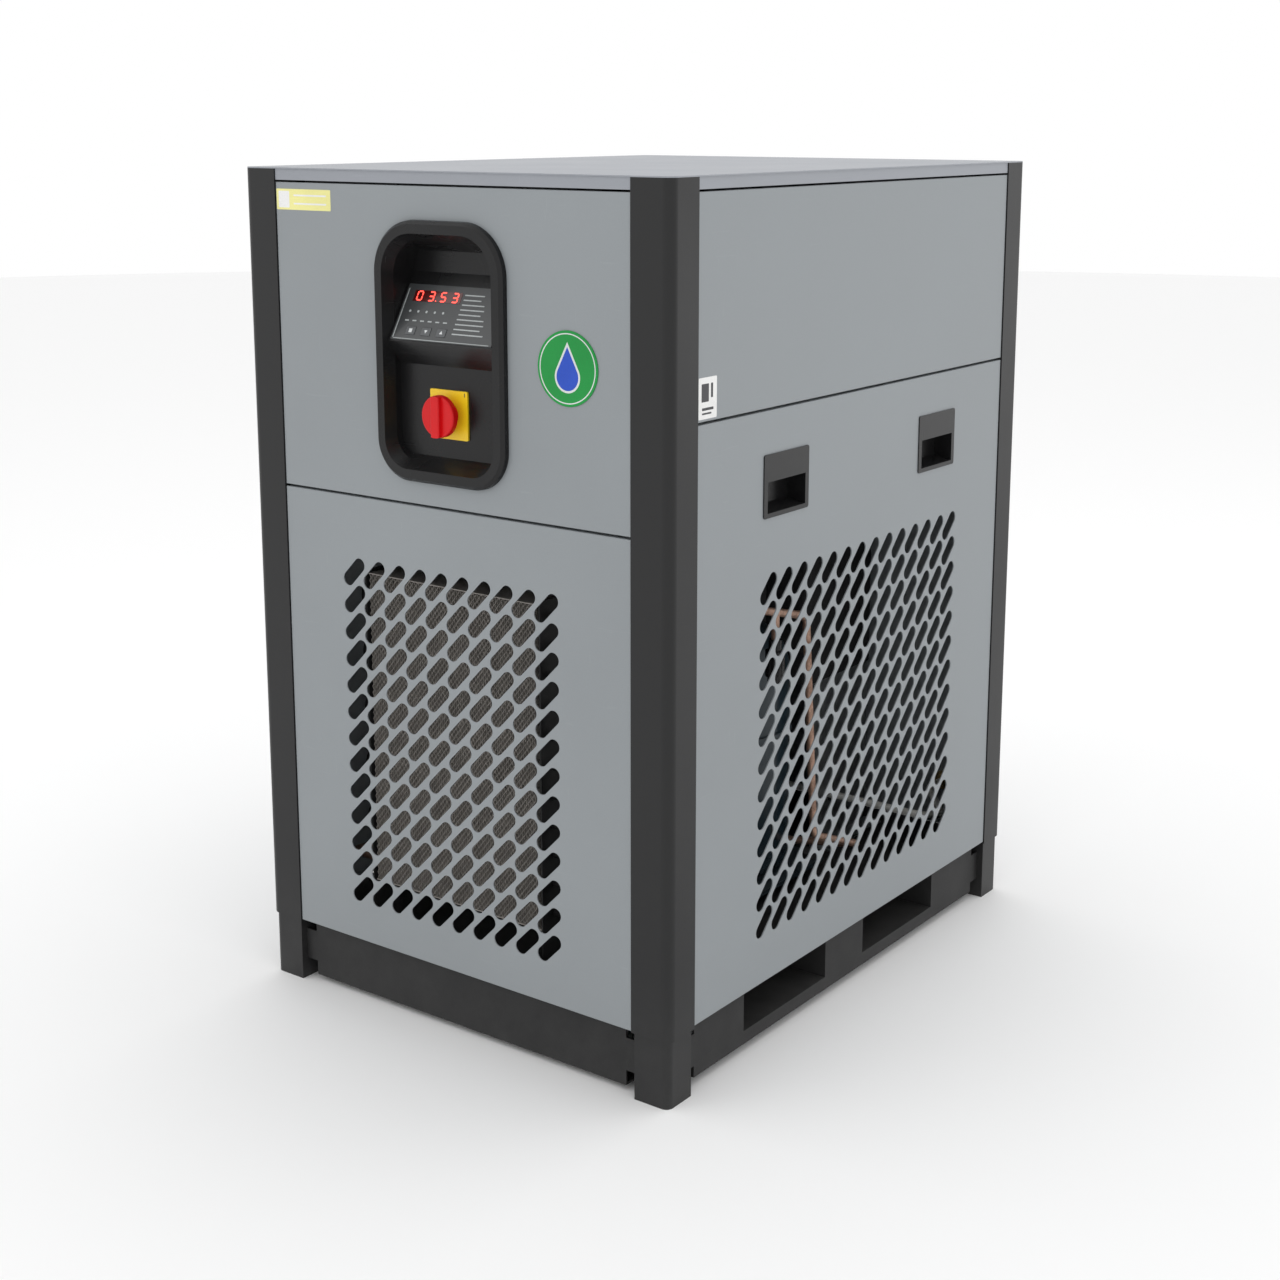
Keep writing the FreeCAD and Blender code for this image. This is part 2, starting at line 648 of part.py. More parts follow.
def key_cutter(x, low, high):
    half_w, half_h = KEY_SIZE[0] / 2 + 0.3, KEY_SIZE[1] / 2 + 0.3
    return box(x - half_w, x + half_w, KEY_V - half_h, KEY_V + half_h, low, high)


def controller_body():
    """Electronics case behind the fascia, with a pocket under each key."""
    body = box(-68.5, 68.5, 6.5, 69.5, -22, 0)
    for x in KEY_X:
        body = body.cut(key_cutter(x, -2.5, 1))
    return tilted(body)


def controller_fascia():
    half = FASCIA_W / 2
    plate = box(-half, half, 2, FASCIA_L - 1, 0, 1.0)
    plate = plate.cut(box(-64.1, 10.1, 51.9, 66.1, -1, 2))
    for x in KEY_X:
        plate = plate.cut(key_cutter(x, -1, 2))
    return tilted(plate)


def led_window():
    return tilted(box(-64, 10, 52, 66, 0.02, 1.3))


def key(x):
    w, h = KEY_SIZE
    cap = box(x - w / 2, x + w / 2, KEY_V - h / 2, KEY_V + h / 2, -1.5, 1.9)
    cap = round_edges(cap, 0.6, lambda e: abs(e.BoundBox.ZMin - 1.9) < 1e-6)
    return tilted(cap)


def switch_plate():
    """Square indicator plate of the main switch."""
    half, t = SWITCH_PLATE / 2, 2.5
    plate = box(SWITCH_X - half, SWITCH_X + half, RECESS_BACK - t, RECESS_BACK, SWITCH_Z - half, SWITCH_Z + half)
    plate = round_edges(plate, 2.0, lambda e: abs(e.BoundBox.YLength - t) < 1e-6)
    return plate.cut(cyl(SHAFT_R + 1.5, (SWITCH_X, RECESS_BACK - 4, SWITCH_Z), (SWITCH_X, RECESS_BACK + 1, SWITCH_Z)))


def switch_knob():
    """Rotary knob on its shaft: a neck, a disc and a grip bar across the disc."""
    back, front = RECESS_BACK - 3.0, -HALF_D - PROUD
    disc_front, disc_back = front + 5.0, front + 13.0
    at = lambda y: (SWITCH_X, y, SWITCH_Z)
    disc = cyl(KNOB_R, at(disc_back), at(disc_front))
    disc = round_edges(disc, 2.5, lambda e: abs(e.BoundBox.YMax - disc_front) < 1e-6)
    half = KNOB_BAR / 2
    bar = box(SWITCH_X - half, SWITCH_X + half, front, disc_front + 1, SWITCH_Z - KNOB_R, SWITCH_Z + KNOB_R)
    bar = bar.common(cyl(KNOB_R - 0.5, at(disc_front + 1), at(front)))
    bar = round_edges(bar, 2.0, lambda e: upright(e) and abs(e.BoundBox.YMax - front) < 1e-6)
    neck = cyl(KNOB_NECK_R, at(back), at(disc_back - 1))
    shaft = cyl(SHAFT_R, at(back - 1), at(RECESS_BACK + 28))
    return fuse([disc, bar, neck, shaft])


def switch_body():
    """Contact block of the main switch, behind the recess wall."""
    front = RECESS_BACK + 3.2
    block = box(SWITCH_X - 24, SWITCH_X + 24, front, front + 44, SWITCH_Z - 24, SWITCH_Z + 24)
    block = round_edges(block, 3.0, lambda e: abs(e.BoundBox.YLength - 44) < 1e-6)
    return block.cut(cyl(SHAFT_R + 0.1, (SWITCH_X, front - 1, SWITCH_Z), (SWITCH_X, front + 34, SWITCH_Z)))


# ================================================================ electrics
def electrical_plate():
    """Mounting plate across the cabinet, with a flange down each side."""
    plate = box(-255, 255, -300, -298, 700, 1030)
    flange = box(253, 255, -298, -278, 700, 1030)
    foot = box(255, 268, -300, -298, 720, 760)
    return fuse([plate, flange, mirror_x(flange), foot, mirror_x(foot)])


def contactor():
    """Contactor with its terminal steps, on the mounting plate."""
    steps = [
        box(150, 205, -340, -300, 760, 850),
        box(153, 202, -358, -340, 775, 835),
        box(160, 195, -366, -358, 790, 820),
    ]
    return fuse(steps)


def cable_gland():
    """Power inlet gland in the lower rear panel, with a clear bore for the cable."""
    y = REAR_FACE
    body = cyl(12.0, (GLAND_X, y - 18, GLAND_Z), (GLAND_X, y + 4, GLAND_Z))
    collar = cyl(16.5, (GLAND_X, y, GLAND_Z), (GLAND_X, y + 5, GLAND_Z))
    dome = cyl(14.5, (GLAND_X, y + 4, GLAND_Z), (GLAND_X, HALF_D + PROUD, GLAND_Z))
    dome = round_edges(dome, 4.0, lambda e: abs(e.BoundBox.YMin - HALF_D - PROUD) < 1e-6)
    nut = cyl(16.5, (GLAND_X, y - SHEET - 6, GLAND_Z), (GLAND_X, y - SHEET, GLAND_Z))
    solid = fuse([body, collar, dome, nut])
    return solid.cut(cyl(GLAND_BORE, (GLAND_X, y - 20, GLAND_Z), (GLAND_X, y + 30, GLAND_Z)))


# ================================================================ condenser and fan
def tube_heights():
    step = (CORE_HIGH - CORE_LOW) / TUBE_COUNT
    return [CORE_LOW + step * (i + 0.5) for i in range(TUBE_COUNT)]


def condenser_fins():
    """Fin pack: thin upright plates pierced by the tubes and joined by a strip at each end."""
    y0, y1 = CORE_Y
    middle = (y0 + y1) / 2
    outline = Part.makePolygon([
        Vector(0, y0, CORE_LOW), Vector(0, y1, CORE_LOW), Vector(0, y1, CORE_HIGH), Vector(0, y0, CORE_HIGH),
        Vector(0, y0, CORE_LOW),
    ])
    holes = [
        Part.Wire(Part.makeCircle(TUBE_R + 0.1, Vector(0, middle, z), Vector(1, 0, 0))) for z in tube_heights()
    ]
    face = Part.Face(outline)
    fin = face.extrude(Vector(FIN_T, 0, 0))
    for ring in holes:
        fin = fin.cut(Part.Face(ring).extrude(Vector(FIN_T, 0, 0)))
    count = int(CORE_W / FIN_PITCH) - 1
    start = -count * FIN_PITCH / 2
    fins = [fin.translated(Vector(start + i * FIN_PITCH, 0, 0)) for i in range(count + 1)]
    half = CORE_W / 2 - 2
    strips = [box(-half, half, y0, y1, z, z + 1) for z in (CORE_LOW, CORE_HIGH - 1)]
    return strips[0].multiFuse(fins + strips[1:])


def condenser_tubes():
    """One copper serpentine: straight runs through the fin pack, joined by return bends at its ends."""
    middle = (CORE_Y[0] + CORE_Y[1]) / 2
    reach = CORE_W / 2 + 8
    heights = tube_heights()
    edges, side = [], 1
    for low, high in zip(heights, heights[1:] + [None]):
        start, end = Vector(-side * reach, middle, low), Vector(side * reach, middle, low)
        edges.append(Part.LineSegment(start, end).toShape())
        if high is not None:
            r = (high - low) / 2
            bend = Part.Arc(end, end + Vector(side * r, 0, r), Vector(side * reach, middle, high))
            edges.append(bend.toShape())
            side = -side
    ring = Part.Wire(Part.makeCircle(TUBE_R, Vector(-reach, middle, heights[0]), Vector(1, 0, 0)))
    return Part.Wire(edges).makePipeShell([ring], True, False)


def condenser_frame():
    """Side plates of the condenser, folded out to feet on the deck."""
    half = CORE_W / 2
    top = BASE_TOP + DECK_T
    middle = (CORE_Y[0] + CORE_Y[1]) / 2
    plate = box(half, half + 2, CORE_Y[0] - 2, CORE_Y[1] + 2, top, CORE_HIGH + 4)
    foot = box(half, half + 25, CORE_Y[0] - 2, CORE_Y[1] + 2, top, top + 2)
    plate = fuse([plate, foot])
    for z in tube_heights():
        plate = plate.cut(cyl(TUBE_R + 0.4, (half - 1, middle, z), (half + 3, middle, z)))
    return group([plate, mirror_x(plate)])


def fan_shroud():
    """Pressed shroud between the condenser and the fan, with a ring close round the blades."""
    half = CORE_W / 2
    y0 = CORE_Y[1] + 2.5
    outer = box(-half, half, y0, SHROUD_BACK, CORE_LOW, CORE_HIGH)
    inner = box(-half + SHEET, half - SHEET, y0, SHROUD_BACK - SHEET, CORE_LOW + SHEET, CORE_HIGH - SHEET)
    hole = cyl(RING_R, (0, y0, FAN_Z), (0, RING_BACK + 1, FAN_Z))
    ring = tube(RING_R + SHEET, RING_R, (0, SHROUD_BACK - SHEET, FAN_Z), (0, RING_BACK, FAN_Z))
    return fuse([outer.cut(inner).cut(hole), ring])


def fan_rotor():
    """Five-bladed rotor: each blade is a flat, pitched paddle with rounded tips, fused to the hub."""
    y0, y1 = BLADE_Y
    middle = (y0 + y1) / 2
    hub = cyl(HUB_R, (0, y0, FAN_Z), (0, y1 + 4, FAN_Z))
    hub = round_edges(hub, 4.0, lambda e: abs(e.BoundBox.YMax - y0) < 1e-6)
    blade = box(-38, 38, -1.5, 1.5, HUB_R - 14, FAN_R - 1)
    blade = round_edges(blade, 26, lambda e: abs(e.BoundBox.YLength - 3) < 1e-6 and e.BoundBox.ZMin > HUB_R)
    blade.rotate(Vector(0, 0, 0), Vector(0, 0, 1), 24)
    blade = blade.common(cyl(FAN_R, (0, -20, 0), (0, 20, 0)))
    blade.translate(Vector(0, middle, FAN_Z))
    blades = []
    for i in range(5):
        copy = blade.copy()
        copy.rotate(Vector(0, 0, FAN_Z), Vector(0, 1, 0), 72 * i)
        blades.append(copy)
    shaft = cyl(5, (0, y1, FAN_Z), (0, MOTOR_Y[0] + 40, FAN_Z))
    return hub.multiFuse(blades + [shaft])


def fan_motor():
    y0, y1 = MOTOR_Y
    body = cyl(MOTOR_R, (0, y0, FAN_Z), (0, y1, FAN_Z))
    body = round_edges(body, 5.0, lambda e: abs(e.BoundBox.YMin - y1) < 1e-6)
    nose = cyl(16, (0, y0 - 3.5, FAN_Z), (0, y0, FAN_Z))
    ribs = [
        cyl(1.6, (MOTOR_R * math.cos(a), y0 + 8, FAN_Z + MOTOR_R * math.sin(a)),
            (MOTOR_R * math.cos(a), y1 - 12, FAN_Z + MOTOR_R * math.sin(a)))
        for a in [math.radians(30 * k) for k in range(12)]
    ]
    return fuse([body, nose] + ribs).cut(cyl(5.05, (0, y0 - 4, FAN_Z), (0, y0 + 42, FAN_Z)))


def motor_bracket():
    """Four-armed guard that carries the motor from the shroud."""
    y0 = MOTOR_Y[0] - 3
    y1 = MOTOR_Y[0]
    plate = tube(MOTOR_R + 8, 16.5, (0, y0, FAN_Z), (0, y1, FAN_Z))
    pieces = [plate]
    reach = RING_R + 22
    for turn in (45, 135, 225, 315):
        arm = box(MOTOR_R, reach, y0, y1, -8, 8)
        leg = box(reach - 3, reach, SHROUD_BACK, y0 + 1, -8, 8)
        foot = box(reach - 3, reach + 12, SHROUD_BACK, SHROUD_BACK + 3, -8, 8)
        limb = fuse([arm, leg, foot])
        limb.rotate(Vector(0, 0, 0), Vector(0, 1, 0), turn)
        pieces.append(limb.translated(Vector(0, 0, FAN_Z)))
    for radius in (72.0, 98.0, 124.0):
        pieces.append(tube(radius + 1.5, radius - 1.5, (0, y0, FAN_Z), (0, y1, FAN_Z)))
    return fuse(pieces)


# ================================================================ compressor
def pot(grow):
    """The compressor's domed pot, larger by grow all round."""
    low, high = COMP_LOW - grow, COMP_HIGH + grow
    shape = cyl(COMP_R + grow, (COMP_X, COMP_Y, low), (COMP_X, COMP_Y, high))
    shape = round_edges(shape, COMP_DOME + grow, lambda e: abs(e.BoundBox.ZMin - high) < 1e-6)
    return round_edges(shape, COMP_BASE + grow, lambda e: abs(e.BoundBox.ZMax - low) < 1e-6)


def mount_places():
    """Where the compressor's four rubber mounts stand."""
    return [(COMP_X + dx, COMP_Y + dy) for dx in (-105, 105) for dy in (-85, 85)]


def compressor_shell():
    """Welded steel pot with the seam band, a terminal cover and the foot plate."""
    seam = tube(COMP_R + 4, COMP_R - 1, (COMP_X, COMP_Y, 300), (COMP_X, COMP_Y, 308))
    cover = box(COMP_X - 30, COMP_X + 30, COMP_Y - COMP_R - 28, COMP_Y - 60, 215, 285)
    cover = round_edges(cover, 6, lambda e: e.BoundBox.YMax < COMP_Y - COMP_R)
    foot = box(COMP_X - 125, COMP_X + 125, COMP_Y - 105, COMP_Y + 105, COMP_LOW - FOOT_PLATE, COMP_LOW + 0.5)
    foot = round_edges(foot, 18.0, upright)
    for x, y in mount_places():
        foot = foot.cut(cyl(MOUNT_NECK + 0.3, (x, y, COMP_LOW - 10), (x, y, COMP_LOW + 5)))
    return fuse([pot(0), seam, cover, foot]).cut(pot(-COMP_WALL))


def compressor_pump():
    """Motor and pump block hung inside the pot."""
    motor = cyl(72, (COMP_X, COMP_Y, 240), (COMP_X, COMP_Y, 350))
    pump = cyl(56, (COMP_X, COMP_Y, 160), (COMP_X, COMP_Y, 240))
    leg = cyl(20, (COMP_X, COMP_Y, COMP_LOW + COMP_WALL), (COMP_X, COMP_Y, 160))
    return fuse([motor, pump, leg])


def compressor_mounts():
    """Rubber mounts: each is a foot under the plate, a neck through it and a collar above it."""
    low, under = BASE_TOP + DECK_T, COMP_LOW - FOOT_PLATE
    over = COMP_LOW + 0.5
    return group([
        fuse([
            cyl(16, (x, y, low), (x, y, under)),
            cyl(MOUNT_NECK, (x, y, low), (x, y, over + 8)),
            cyl(13, (x, y, over), (x, y, over + 8)),
        ])
        for x, y in mount_places()
    ])


# ================================================================ heat exchanger and ports
def exchanger_jacket():
    """Insulating jacket round the heat exchanger, with a hole for each port and for the drain."""
    y0, y1 = EXCH_Y
    z0, z1 = EXCH_Z
    outer = box(-EXCH_X, EXCH_X, y0, y1, z0, z1)
    outer = round_edges(outer, 14.0, upright)
    t = JACKET_T
    inner = box(-EXCH_X + t, EXCH_X - t, y0 + t, y1 - t, z0 + t, z1 - t)
    shell = outer.cut(inner)
    for x in (-PORT_X, PORT_X):
        shell = shell.cut(cyl(PORT_OUT_R - 3, (x, y1 - t - 1, PORT_Z), (x, y1 + 1, PORT_Z)))
    return shell.cut(cyl(10, (DRAIN_X, DRAIN_Y, z0 - 1), (DRAIN_X, DRAIN_Y, z0 + t + 1)))


def exchanger_core():
    """Aluminium block: end boxes and a stack of parting plates."""
    t = JACKET_T + 1.5
    x1 = EXCH_X - t
    y0, y1 = EXCH_Y[0] + t, EXCH_Y[1] - t
    z0, z1 = EXCH_Z[0] + t, EXCH_Z[1] - t
    outer = box(-x1, x1, y0, y1, z0, z1)
    solid = outer.cut(box(-x1 + 4, x1 - 4, y0 + 4, y1 - 4, z0 + 4, z1 - 4))
    plates = []
    count = 14
    for i in range(count):
        x = -x1 + 4 + (2 * x1 - 8) * (i + 1) / (count + 1)
        plates.append(box(x - 1, x + 1, y0 + 4, y1 - 4, z0 + 60, z1 - 110))
    return solid.multiFuse(plates)


def exchanger_brackets():
    """Folded plates that stand on the deck and carry the exchanger by its lower edges."""
    low, high = BASE_TOP + DECK_T, EXCH_Z[0]
    y0, y1 = EXCH_Y[0] + 15, EXCH_Y[1] - 15
    web = box(EXCH_X - 3, EXCH_X, y0, y1, low, high)
    shelf = box(EXCH_X - 45, EXCH_X, y0, y1, high - 3, high)
    foot = box(EXCH_X - 3, EXCH_X + 30, y0, y1, low, low + 3)
    bracket = fuse([web, shelf, foot])
    hose_hole = cyl(10, (EXCH_X - 5, HOSE_Y, OUTLET_Z), (EXCH_X + 5, HOSE_Y, OUTLET_Z))
    return group([bracket.cut(hose_hole), mirror_x(bracket)])


def air_ports():
    """Threaded sockets for the air inlet and outlet, through the upper rear panel."""
    end = HALF_D + PROUD
    ports = []
    for x in (-PORT_X, PORT_X):
        start = EXCH_Y[1]
        neck = cyl(PORT_OUT_R - 4, (x, start - JACKET_T, PORT_Z), (x, start + 8, PORT_Z))
        socket = cyl(PORT_OUT_R, (x, start + 2, PORT_Z), (x, end, PORT_Z))
        socket = round_edges(socket, 2.0, lambda e: abs(e.BoundBox.YMin - end) < 1e-6)
        solid = fuse([neck, socket])
        solid = solid.cut(cyl(PORT_R, (x, end - PORT_THREAD, PORT_Z), (x, end + 1, PORT_Z)))
        solid = solid.cut(cyl(PORT_R - 5, (x, start - JACKET_T - 1, PORT_Z), (x, end, PORT_Z)))
        ports.append(solid)
    return group(ports)


# ================================================================ refrigerant circuit
def discharge_line():
    """Hot gas line from the compressor, up past the right panel and forward to the condenser."""
    middle = (CORE_Y[0] + CORE_Y[1]) / 2
    top_tube = tube_heights()[-1]
    route = [
        (CORE_X + CORE_W / 2 + 8.5, middle, top_tube),
        (255, middle, top_tube),
        (285, -300, 572),
        (285, -71, 511),
        (285, -44, 214),
        (280, 86, 160),
        (COMP_X + 101.8, COMP_Y + 22.3, 150),
    ]
    line = bent_tube(route, 5.0, 16).cut(pot(0.1))
    tee = cyl(5.0, (285, SWITCH_TEE_Y, SWITCH_TEE_Z), (285, SWITCH_TEE_Y, SWITCH_TEE_Z - 34))
    return fuse([line, tee])


def fan_pressure_switch():
    """Pressure switch that hangs on the tee of the discharge line."""
    x, y, top = 285, SWITCH_TEE_Y, SWITCH_TEE_Z - 34.1
    nut = cyl(8, (x, y, top - 14), (x, y, top))
    can = cyl(12, (x, y, top - 46), (x, y, top - 14))
    plug = cyl(9, (x, y, top - 56), (x, y, top - 46))
    return fuse([nut, can, plug])


def filter_drier():
    """Filter drier: a copper cylinder with spun ends, upright on the left."""
    x, y = -215.0, -180.0
    body = cyl(22, (x, y, 220), (x, y, 320))
    low = Part.makeCone(6, 22, 20, Vector(x, y, 200), Vector(0, 0, 1))
    high = Part.makeCone(22, 6, 20, Vector(x, y, 320), Vector(0, 0, 1))
    return fuse([body, low, high])


def liquid_line():
    """Liquid line: from the condenser's lowest tube, through the drier, back to the exchanger."""
    middle = (CORE_Y[0] + CORE_Y[1]) / 2
    low_tube = tube_heights()[0]
    first = bent_tube([
        (CORE_X - CORE_W / 2 - 8.5, middle, low_tube),
        (-215, middle, low_tube),
        (-215, -180, 160),
        (-215, -180, 199.9),
    ], 5.0, 14)
    second = bent_tube([
        (-215, -180, 340.1),
        (-215, -180, 400),
        (-215, 250, 430),
        (-EXCH_X - 0.2, 250, 430),
    ], 5.0, 16)
    return group([first, second])


def bypass_valve():
    """Hot gas bypass valve: brass body with a spring cap, between two union nuts."""
    x, y, z = -190.0, 60.0, 560.0
    body = box(x - 14, x + 14, y - 14, y + 14, z - 18, z + 18)
    body = round_edges(body, 3, upright)
    nuts = cyl(10, (x, y - 30, z), (x, y + 30, z))
    cap = cyl(16, (x, y, z + 18), (x, y, z + 58))
    cap = round_edges(cap, 4, lambda e: abs(e.BoundBox.ZMin - z - 58) < 1e-6)
    line = bent_tube([(x, y + 29, z), (x, 250, z), (-EXCH_X - 0.2, 250, z)], 5.0, 16)
    feed = bent_tube([(x, y - 29, z), (x, -10, z), (COMP_X - 60, -10, 500), (COMP_X - 60, COMP_Y, 440)], 5.0, 12)
    feed = feed.cut(pot(0.1))
    return fuse([body, nuts, cap, line, feed])


def suction_line():
    """Insulated return line from the exchanger down to the compressor."""
    line = bent_tube([
        (60, EXCH_Y[0] - 0.2, 560),
        (60, 162, 560),
        (60, 162, 330),
        (60, 80, 280),
    ], 13.0, 24)
    seam = cyl(COMP_R + 4.5, (COMP_X, COMP_Y, 299), (COMP_X, COMP_Y, 309))
    return line.cut(pot(0.1)).cut(seam)


# ================================================================ condensate drain
def drain_valve():
    """Ball valve on the drain pipe under the exchanger."""
    x, y = DRAIN_X, DRAIN_Y
    pipe = cyl(9, (x, y, 286), (x, y, EXCH_Z[0] + JACKET_T))
    nut = cyl(15, (x, y, 270), (x, y, 292))
    ball = Part.makeSphere(19, Vector(x, y, 254))
    tail = cyl(15, (x, y, 222), (x, y, 238))
    neck = cyl(8, (x, y, 254), (x + 26, y, 254))
    solid = fuse([pipe, nut, ball, tail, neck])
    return solid.cut(cyl(3.1, (x + 8, y, 254), (x + 30, y, 254)))


def drain_lever():
    """Lever of the drain valve, in line with the pipe when the valve is open."""
    x, y, z = DRAIN_X, DRAIN_Y, 254.0
    stem = cyl(3.0, (x + 12, y, z), (x + 31, y, z))
    hub = cyl(9, (x + 26.5, y, z), (x + 30.5, y, z))
    arm = box(x + 27, x + 30, y - 6, y + 6, z - 78, z)
    arm = round_edges(arm, 5.5, lambda e: abs(e.BoundBox.XLength - 3) < 1e-6 and e.BoundBox.ZMax < z - 70)
    return fuse([stem, hub, arm])


def drain_body():
    """Electronic drain: a moulded case with its inlet on top and its outlet at the back."""
    x, y = DRAIN_X, DRAIN_Y
    case = box(x - 45, x + 20, y - 45, y + 40, 118, 205)
    case = round_edges(case, 6, upright)
    inlet = cyl(12, (x, y, 200), (x, y, 222))
    stand = box(x - 35, x + 12, y - 30, y + 30, BASE_TOP + DECK_T, 118)
    spout = cyl(7, (x + 18, HOSE_Y, OUTLET_Z), (x + 32, HOSE_Y, OUTLET_Z))
    solid = fuse([case, inlet, stand, spout])
    return solid.cut(cyl(6.3, (x - 25, y - 46, 185), (x - 25, y - 37, 185)))


def drain_test_button():
    x, y = DRAIN_X - 25, DRAIN_Y
    cap = cyl(6.0, (x, y - 40, 185), (x, y - 48, 185))
    return round_edges(cap, 0.8, lambda e: abs(e.BoundBox.YMax - (y - 48)) < 1e-6)


def drain_hose():
    """White plastic hose from the drain, past the right panel, to the outlet fitting."""
    return bent_tube([
        (DRAIN_X + 32.1, HOSE_Y, OUTLET_Z),
        (HOSE_X, HOSE_Y, OUTLET_Z),
        (HOSE_X, 332, 128),
        (OUTLET_X, 365, OUTLET_Z),
        (OUTLET_X, REAR_FACE - 16.1, OUTLET_Z),
    ], 5.0, 18)


def drain_outlet():
    """Bulkhead fitting with a threaded socket for the condensate hose."""
    y = REAR_FACE
    end = HALF_D + PROUD - 4
    body = cyl(9.0, (OUTLET_X, y - 16, OUTLET_Z), (OUTLET_X, end, OUTLET_Z))
    lock = cyl(14, (OUTLET_X, y - SHEET - 5, OUTLET_Z), (OUTLET_X, y - SHEET, OUTLET_Z))
    flange = cyl(14, (OUTLET_X, y, OUTLET_Z), (OUTLET_X, y + 4, OUTLET_Z))
    solid = fuse([body, lock, flange])
    solid = solid.cut(cyl(OUTLET_R, (OUTLET_X, end - OUTLET_THREAD, OUTLET_Z), (OUTLET_X, end + 1, OUTLET_Z)))
    return solid.cut(cyl(3.2, (OUTLET_X, y - 20, OUTLET_Z), (OUTLET_X, end, OUTLET_Z)))


# ================================================================ all the pieces
def all_parts():
    parts = {
        "corner_posts": corner_posts(),
        "post_feet": post_feet(),
        "base_rails": base_rails(),
        "base_deck": base_deck(),
        "cross_rails": cross_rails(),
        "top_cover": top_cover(),
        "front_upper_panel": front_upper_panel(),
        "front_lower_panel": front_lower_panel(),
        "rear_upper_panel": rear_upper_panel(),
        "rear_lower_panel": rear_lower_panel(),
        "right_upper_panel": right_upper_panel(),
        "right_lower_panel": right_lower_panel(),
        "left_lower_panel": mirror_x(lower_side_panel()),
        "right_handles": right_handles(),
        "right_panel_studs": right_panel_studs(),
        "panel_sockets": panel_sockets(),
        "rear_screws": rear_screws(),
        "round_badge": round_badge(),
        "control_bezel": control_bezel(),
        "controller_body": controller_body(),
        "controller_fascia": controller_fascia(),
        "led_window": led_window(),
        "switch_plate": switch_plate(),
        "switch_knob": switch_knob(),
        "switch_body": switch_body(),
        "electrical_plate": electrical_plate(),
        "contactor": contactor(),
        "cable_gland": cable_gland(),
        "condenser_fins": condenser_fins(),
        "condenser_tubes": condenser_tubes(),
        "condenser_frame": condenser_frame(),
        "fan_shroud": fan_shroud(),
        "fan_rotor": fan_rotor(),
        "fan_motor": fan_motor(),
        "motor_bracket": motor_bracket(),
        "compressor_shell": compressor_shell(),
        "compressor_pump": compressor_pump(),
        "compressor_mounts": compressor_mounts(),
        "exchanger_jacket": exchanger_jacket(),
        "exchanger_core": exchanger_core(),
        "exchanger_brackets": exchanger_brackets(),
        "air_ports": air_ports(),
        "discharge_line": discharge_line(),
        "fan_pressure_switch": fan_pressure_switch(),
        "filter_drier": filter_drier(),
        "liquid_line": liquid_line(),
        "bypass_valve": bypass_valve(),
        "suction_line": suction_line(),
        "drain_valve": drain_valve(),
        "drain_lever": drain_lever(),
        "drain_body": drain_body(),
        "drain_test_button": drain_test_button(),
        "drain_hose": drain_hose(),
        "drain_outlet": drain_outlet(),
    }
    for name in ("fins", "tubes", "frame"):
        parts["condenser_" + name].translate(Vector(CORE_X, 0, 0))
    for name in ("fan_shroud", "fan_rotor", "fan_motor", "motor_bracket"):
        parts[name].translate(Vector(CORE_X, 0, 0))
    for name, x in zip(KEY_NAMES, KEY_X):
        parts[name] = key(x)
    for piece in ("upper_panel", "handles", "panel_studs"):
        parts["left_" + piece] = mirror_x(parts["right_" + piece])
    return parts


def main():
    os.makedirs("parts", exist_ok=True)
    for name, shape in all_parts().items():
        shape.exportStep("parts/" + name + ".step")


main()
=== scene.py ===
"""Refrigerated air dryer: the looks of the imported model, in the model's own frame and in metres.

Every size and place comes from the frame. The CAD nodes keep their shapes and get a finish each; the pieces
made here are those that a finish can't give: the condenser's close fins, the display's digits and print, the
badge, the labels, the key marks and the threads inside the ports.
"""

import json
import math

import bmesh
import bpy
from bpy.props import FloatProperty, FloatVectorProperty, PointerProperty
from mathutils import Matrix, Vector


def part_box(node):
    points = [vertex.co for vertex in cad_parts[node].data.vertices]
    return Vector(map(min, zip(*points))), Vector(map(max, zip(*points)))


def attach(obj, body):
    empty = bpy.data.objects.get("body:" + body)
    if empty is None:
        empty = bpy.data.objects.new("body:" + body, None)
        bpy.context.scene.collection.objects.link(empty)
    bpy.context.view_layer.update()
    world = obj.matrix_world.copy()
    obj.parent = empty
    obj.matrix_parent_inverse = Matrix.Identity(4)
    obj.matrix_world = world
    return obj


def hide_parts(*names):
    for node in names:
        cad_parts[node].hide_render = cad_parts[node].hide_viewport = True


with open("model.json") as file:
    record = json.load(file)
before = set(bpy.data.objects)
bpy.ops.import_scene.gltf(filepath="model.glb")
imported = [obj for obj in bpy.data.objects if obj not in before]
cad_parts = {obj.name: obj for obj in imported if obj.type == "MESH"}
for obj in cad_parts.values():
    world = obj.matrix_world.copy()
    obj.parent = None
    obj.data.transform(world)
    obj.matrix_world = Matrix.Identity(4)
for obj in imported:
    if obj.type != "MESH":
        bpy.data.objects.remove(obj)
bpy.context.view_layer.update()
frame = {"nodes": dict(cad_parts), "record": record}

bl_info = {
    "name": "Refrigerated Air Dryer",
    "version": (1, 0, 0),
    "blender": (4, 5, 0),
    "location": "View3D > Sidebar > Dryer",
    "description": "Finishes and small pieces of a refrigerated air dryer",
    "category": "Object",
}

NODES = frame["nodes"]
MM = 0.001


# ================================================================ mesh helpers
def link_piece(name, bm, body, materials):
    """Makes a bmesh an object at the origin that rides on a body and carries the finishes given."""
    mesh = bpy.data.meshes.new(name)
    bm.to_mesh(mesh)
    bm.free()
    for material in materials:
        mesh.materials.append(material)
    piece = bpy.data.objects.new(name, mesh)
    bpy.context.scene.collection.objects.link(piece)
    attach(piece, body)
    return piece


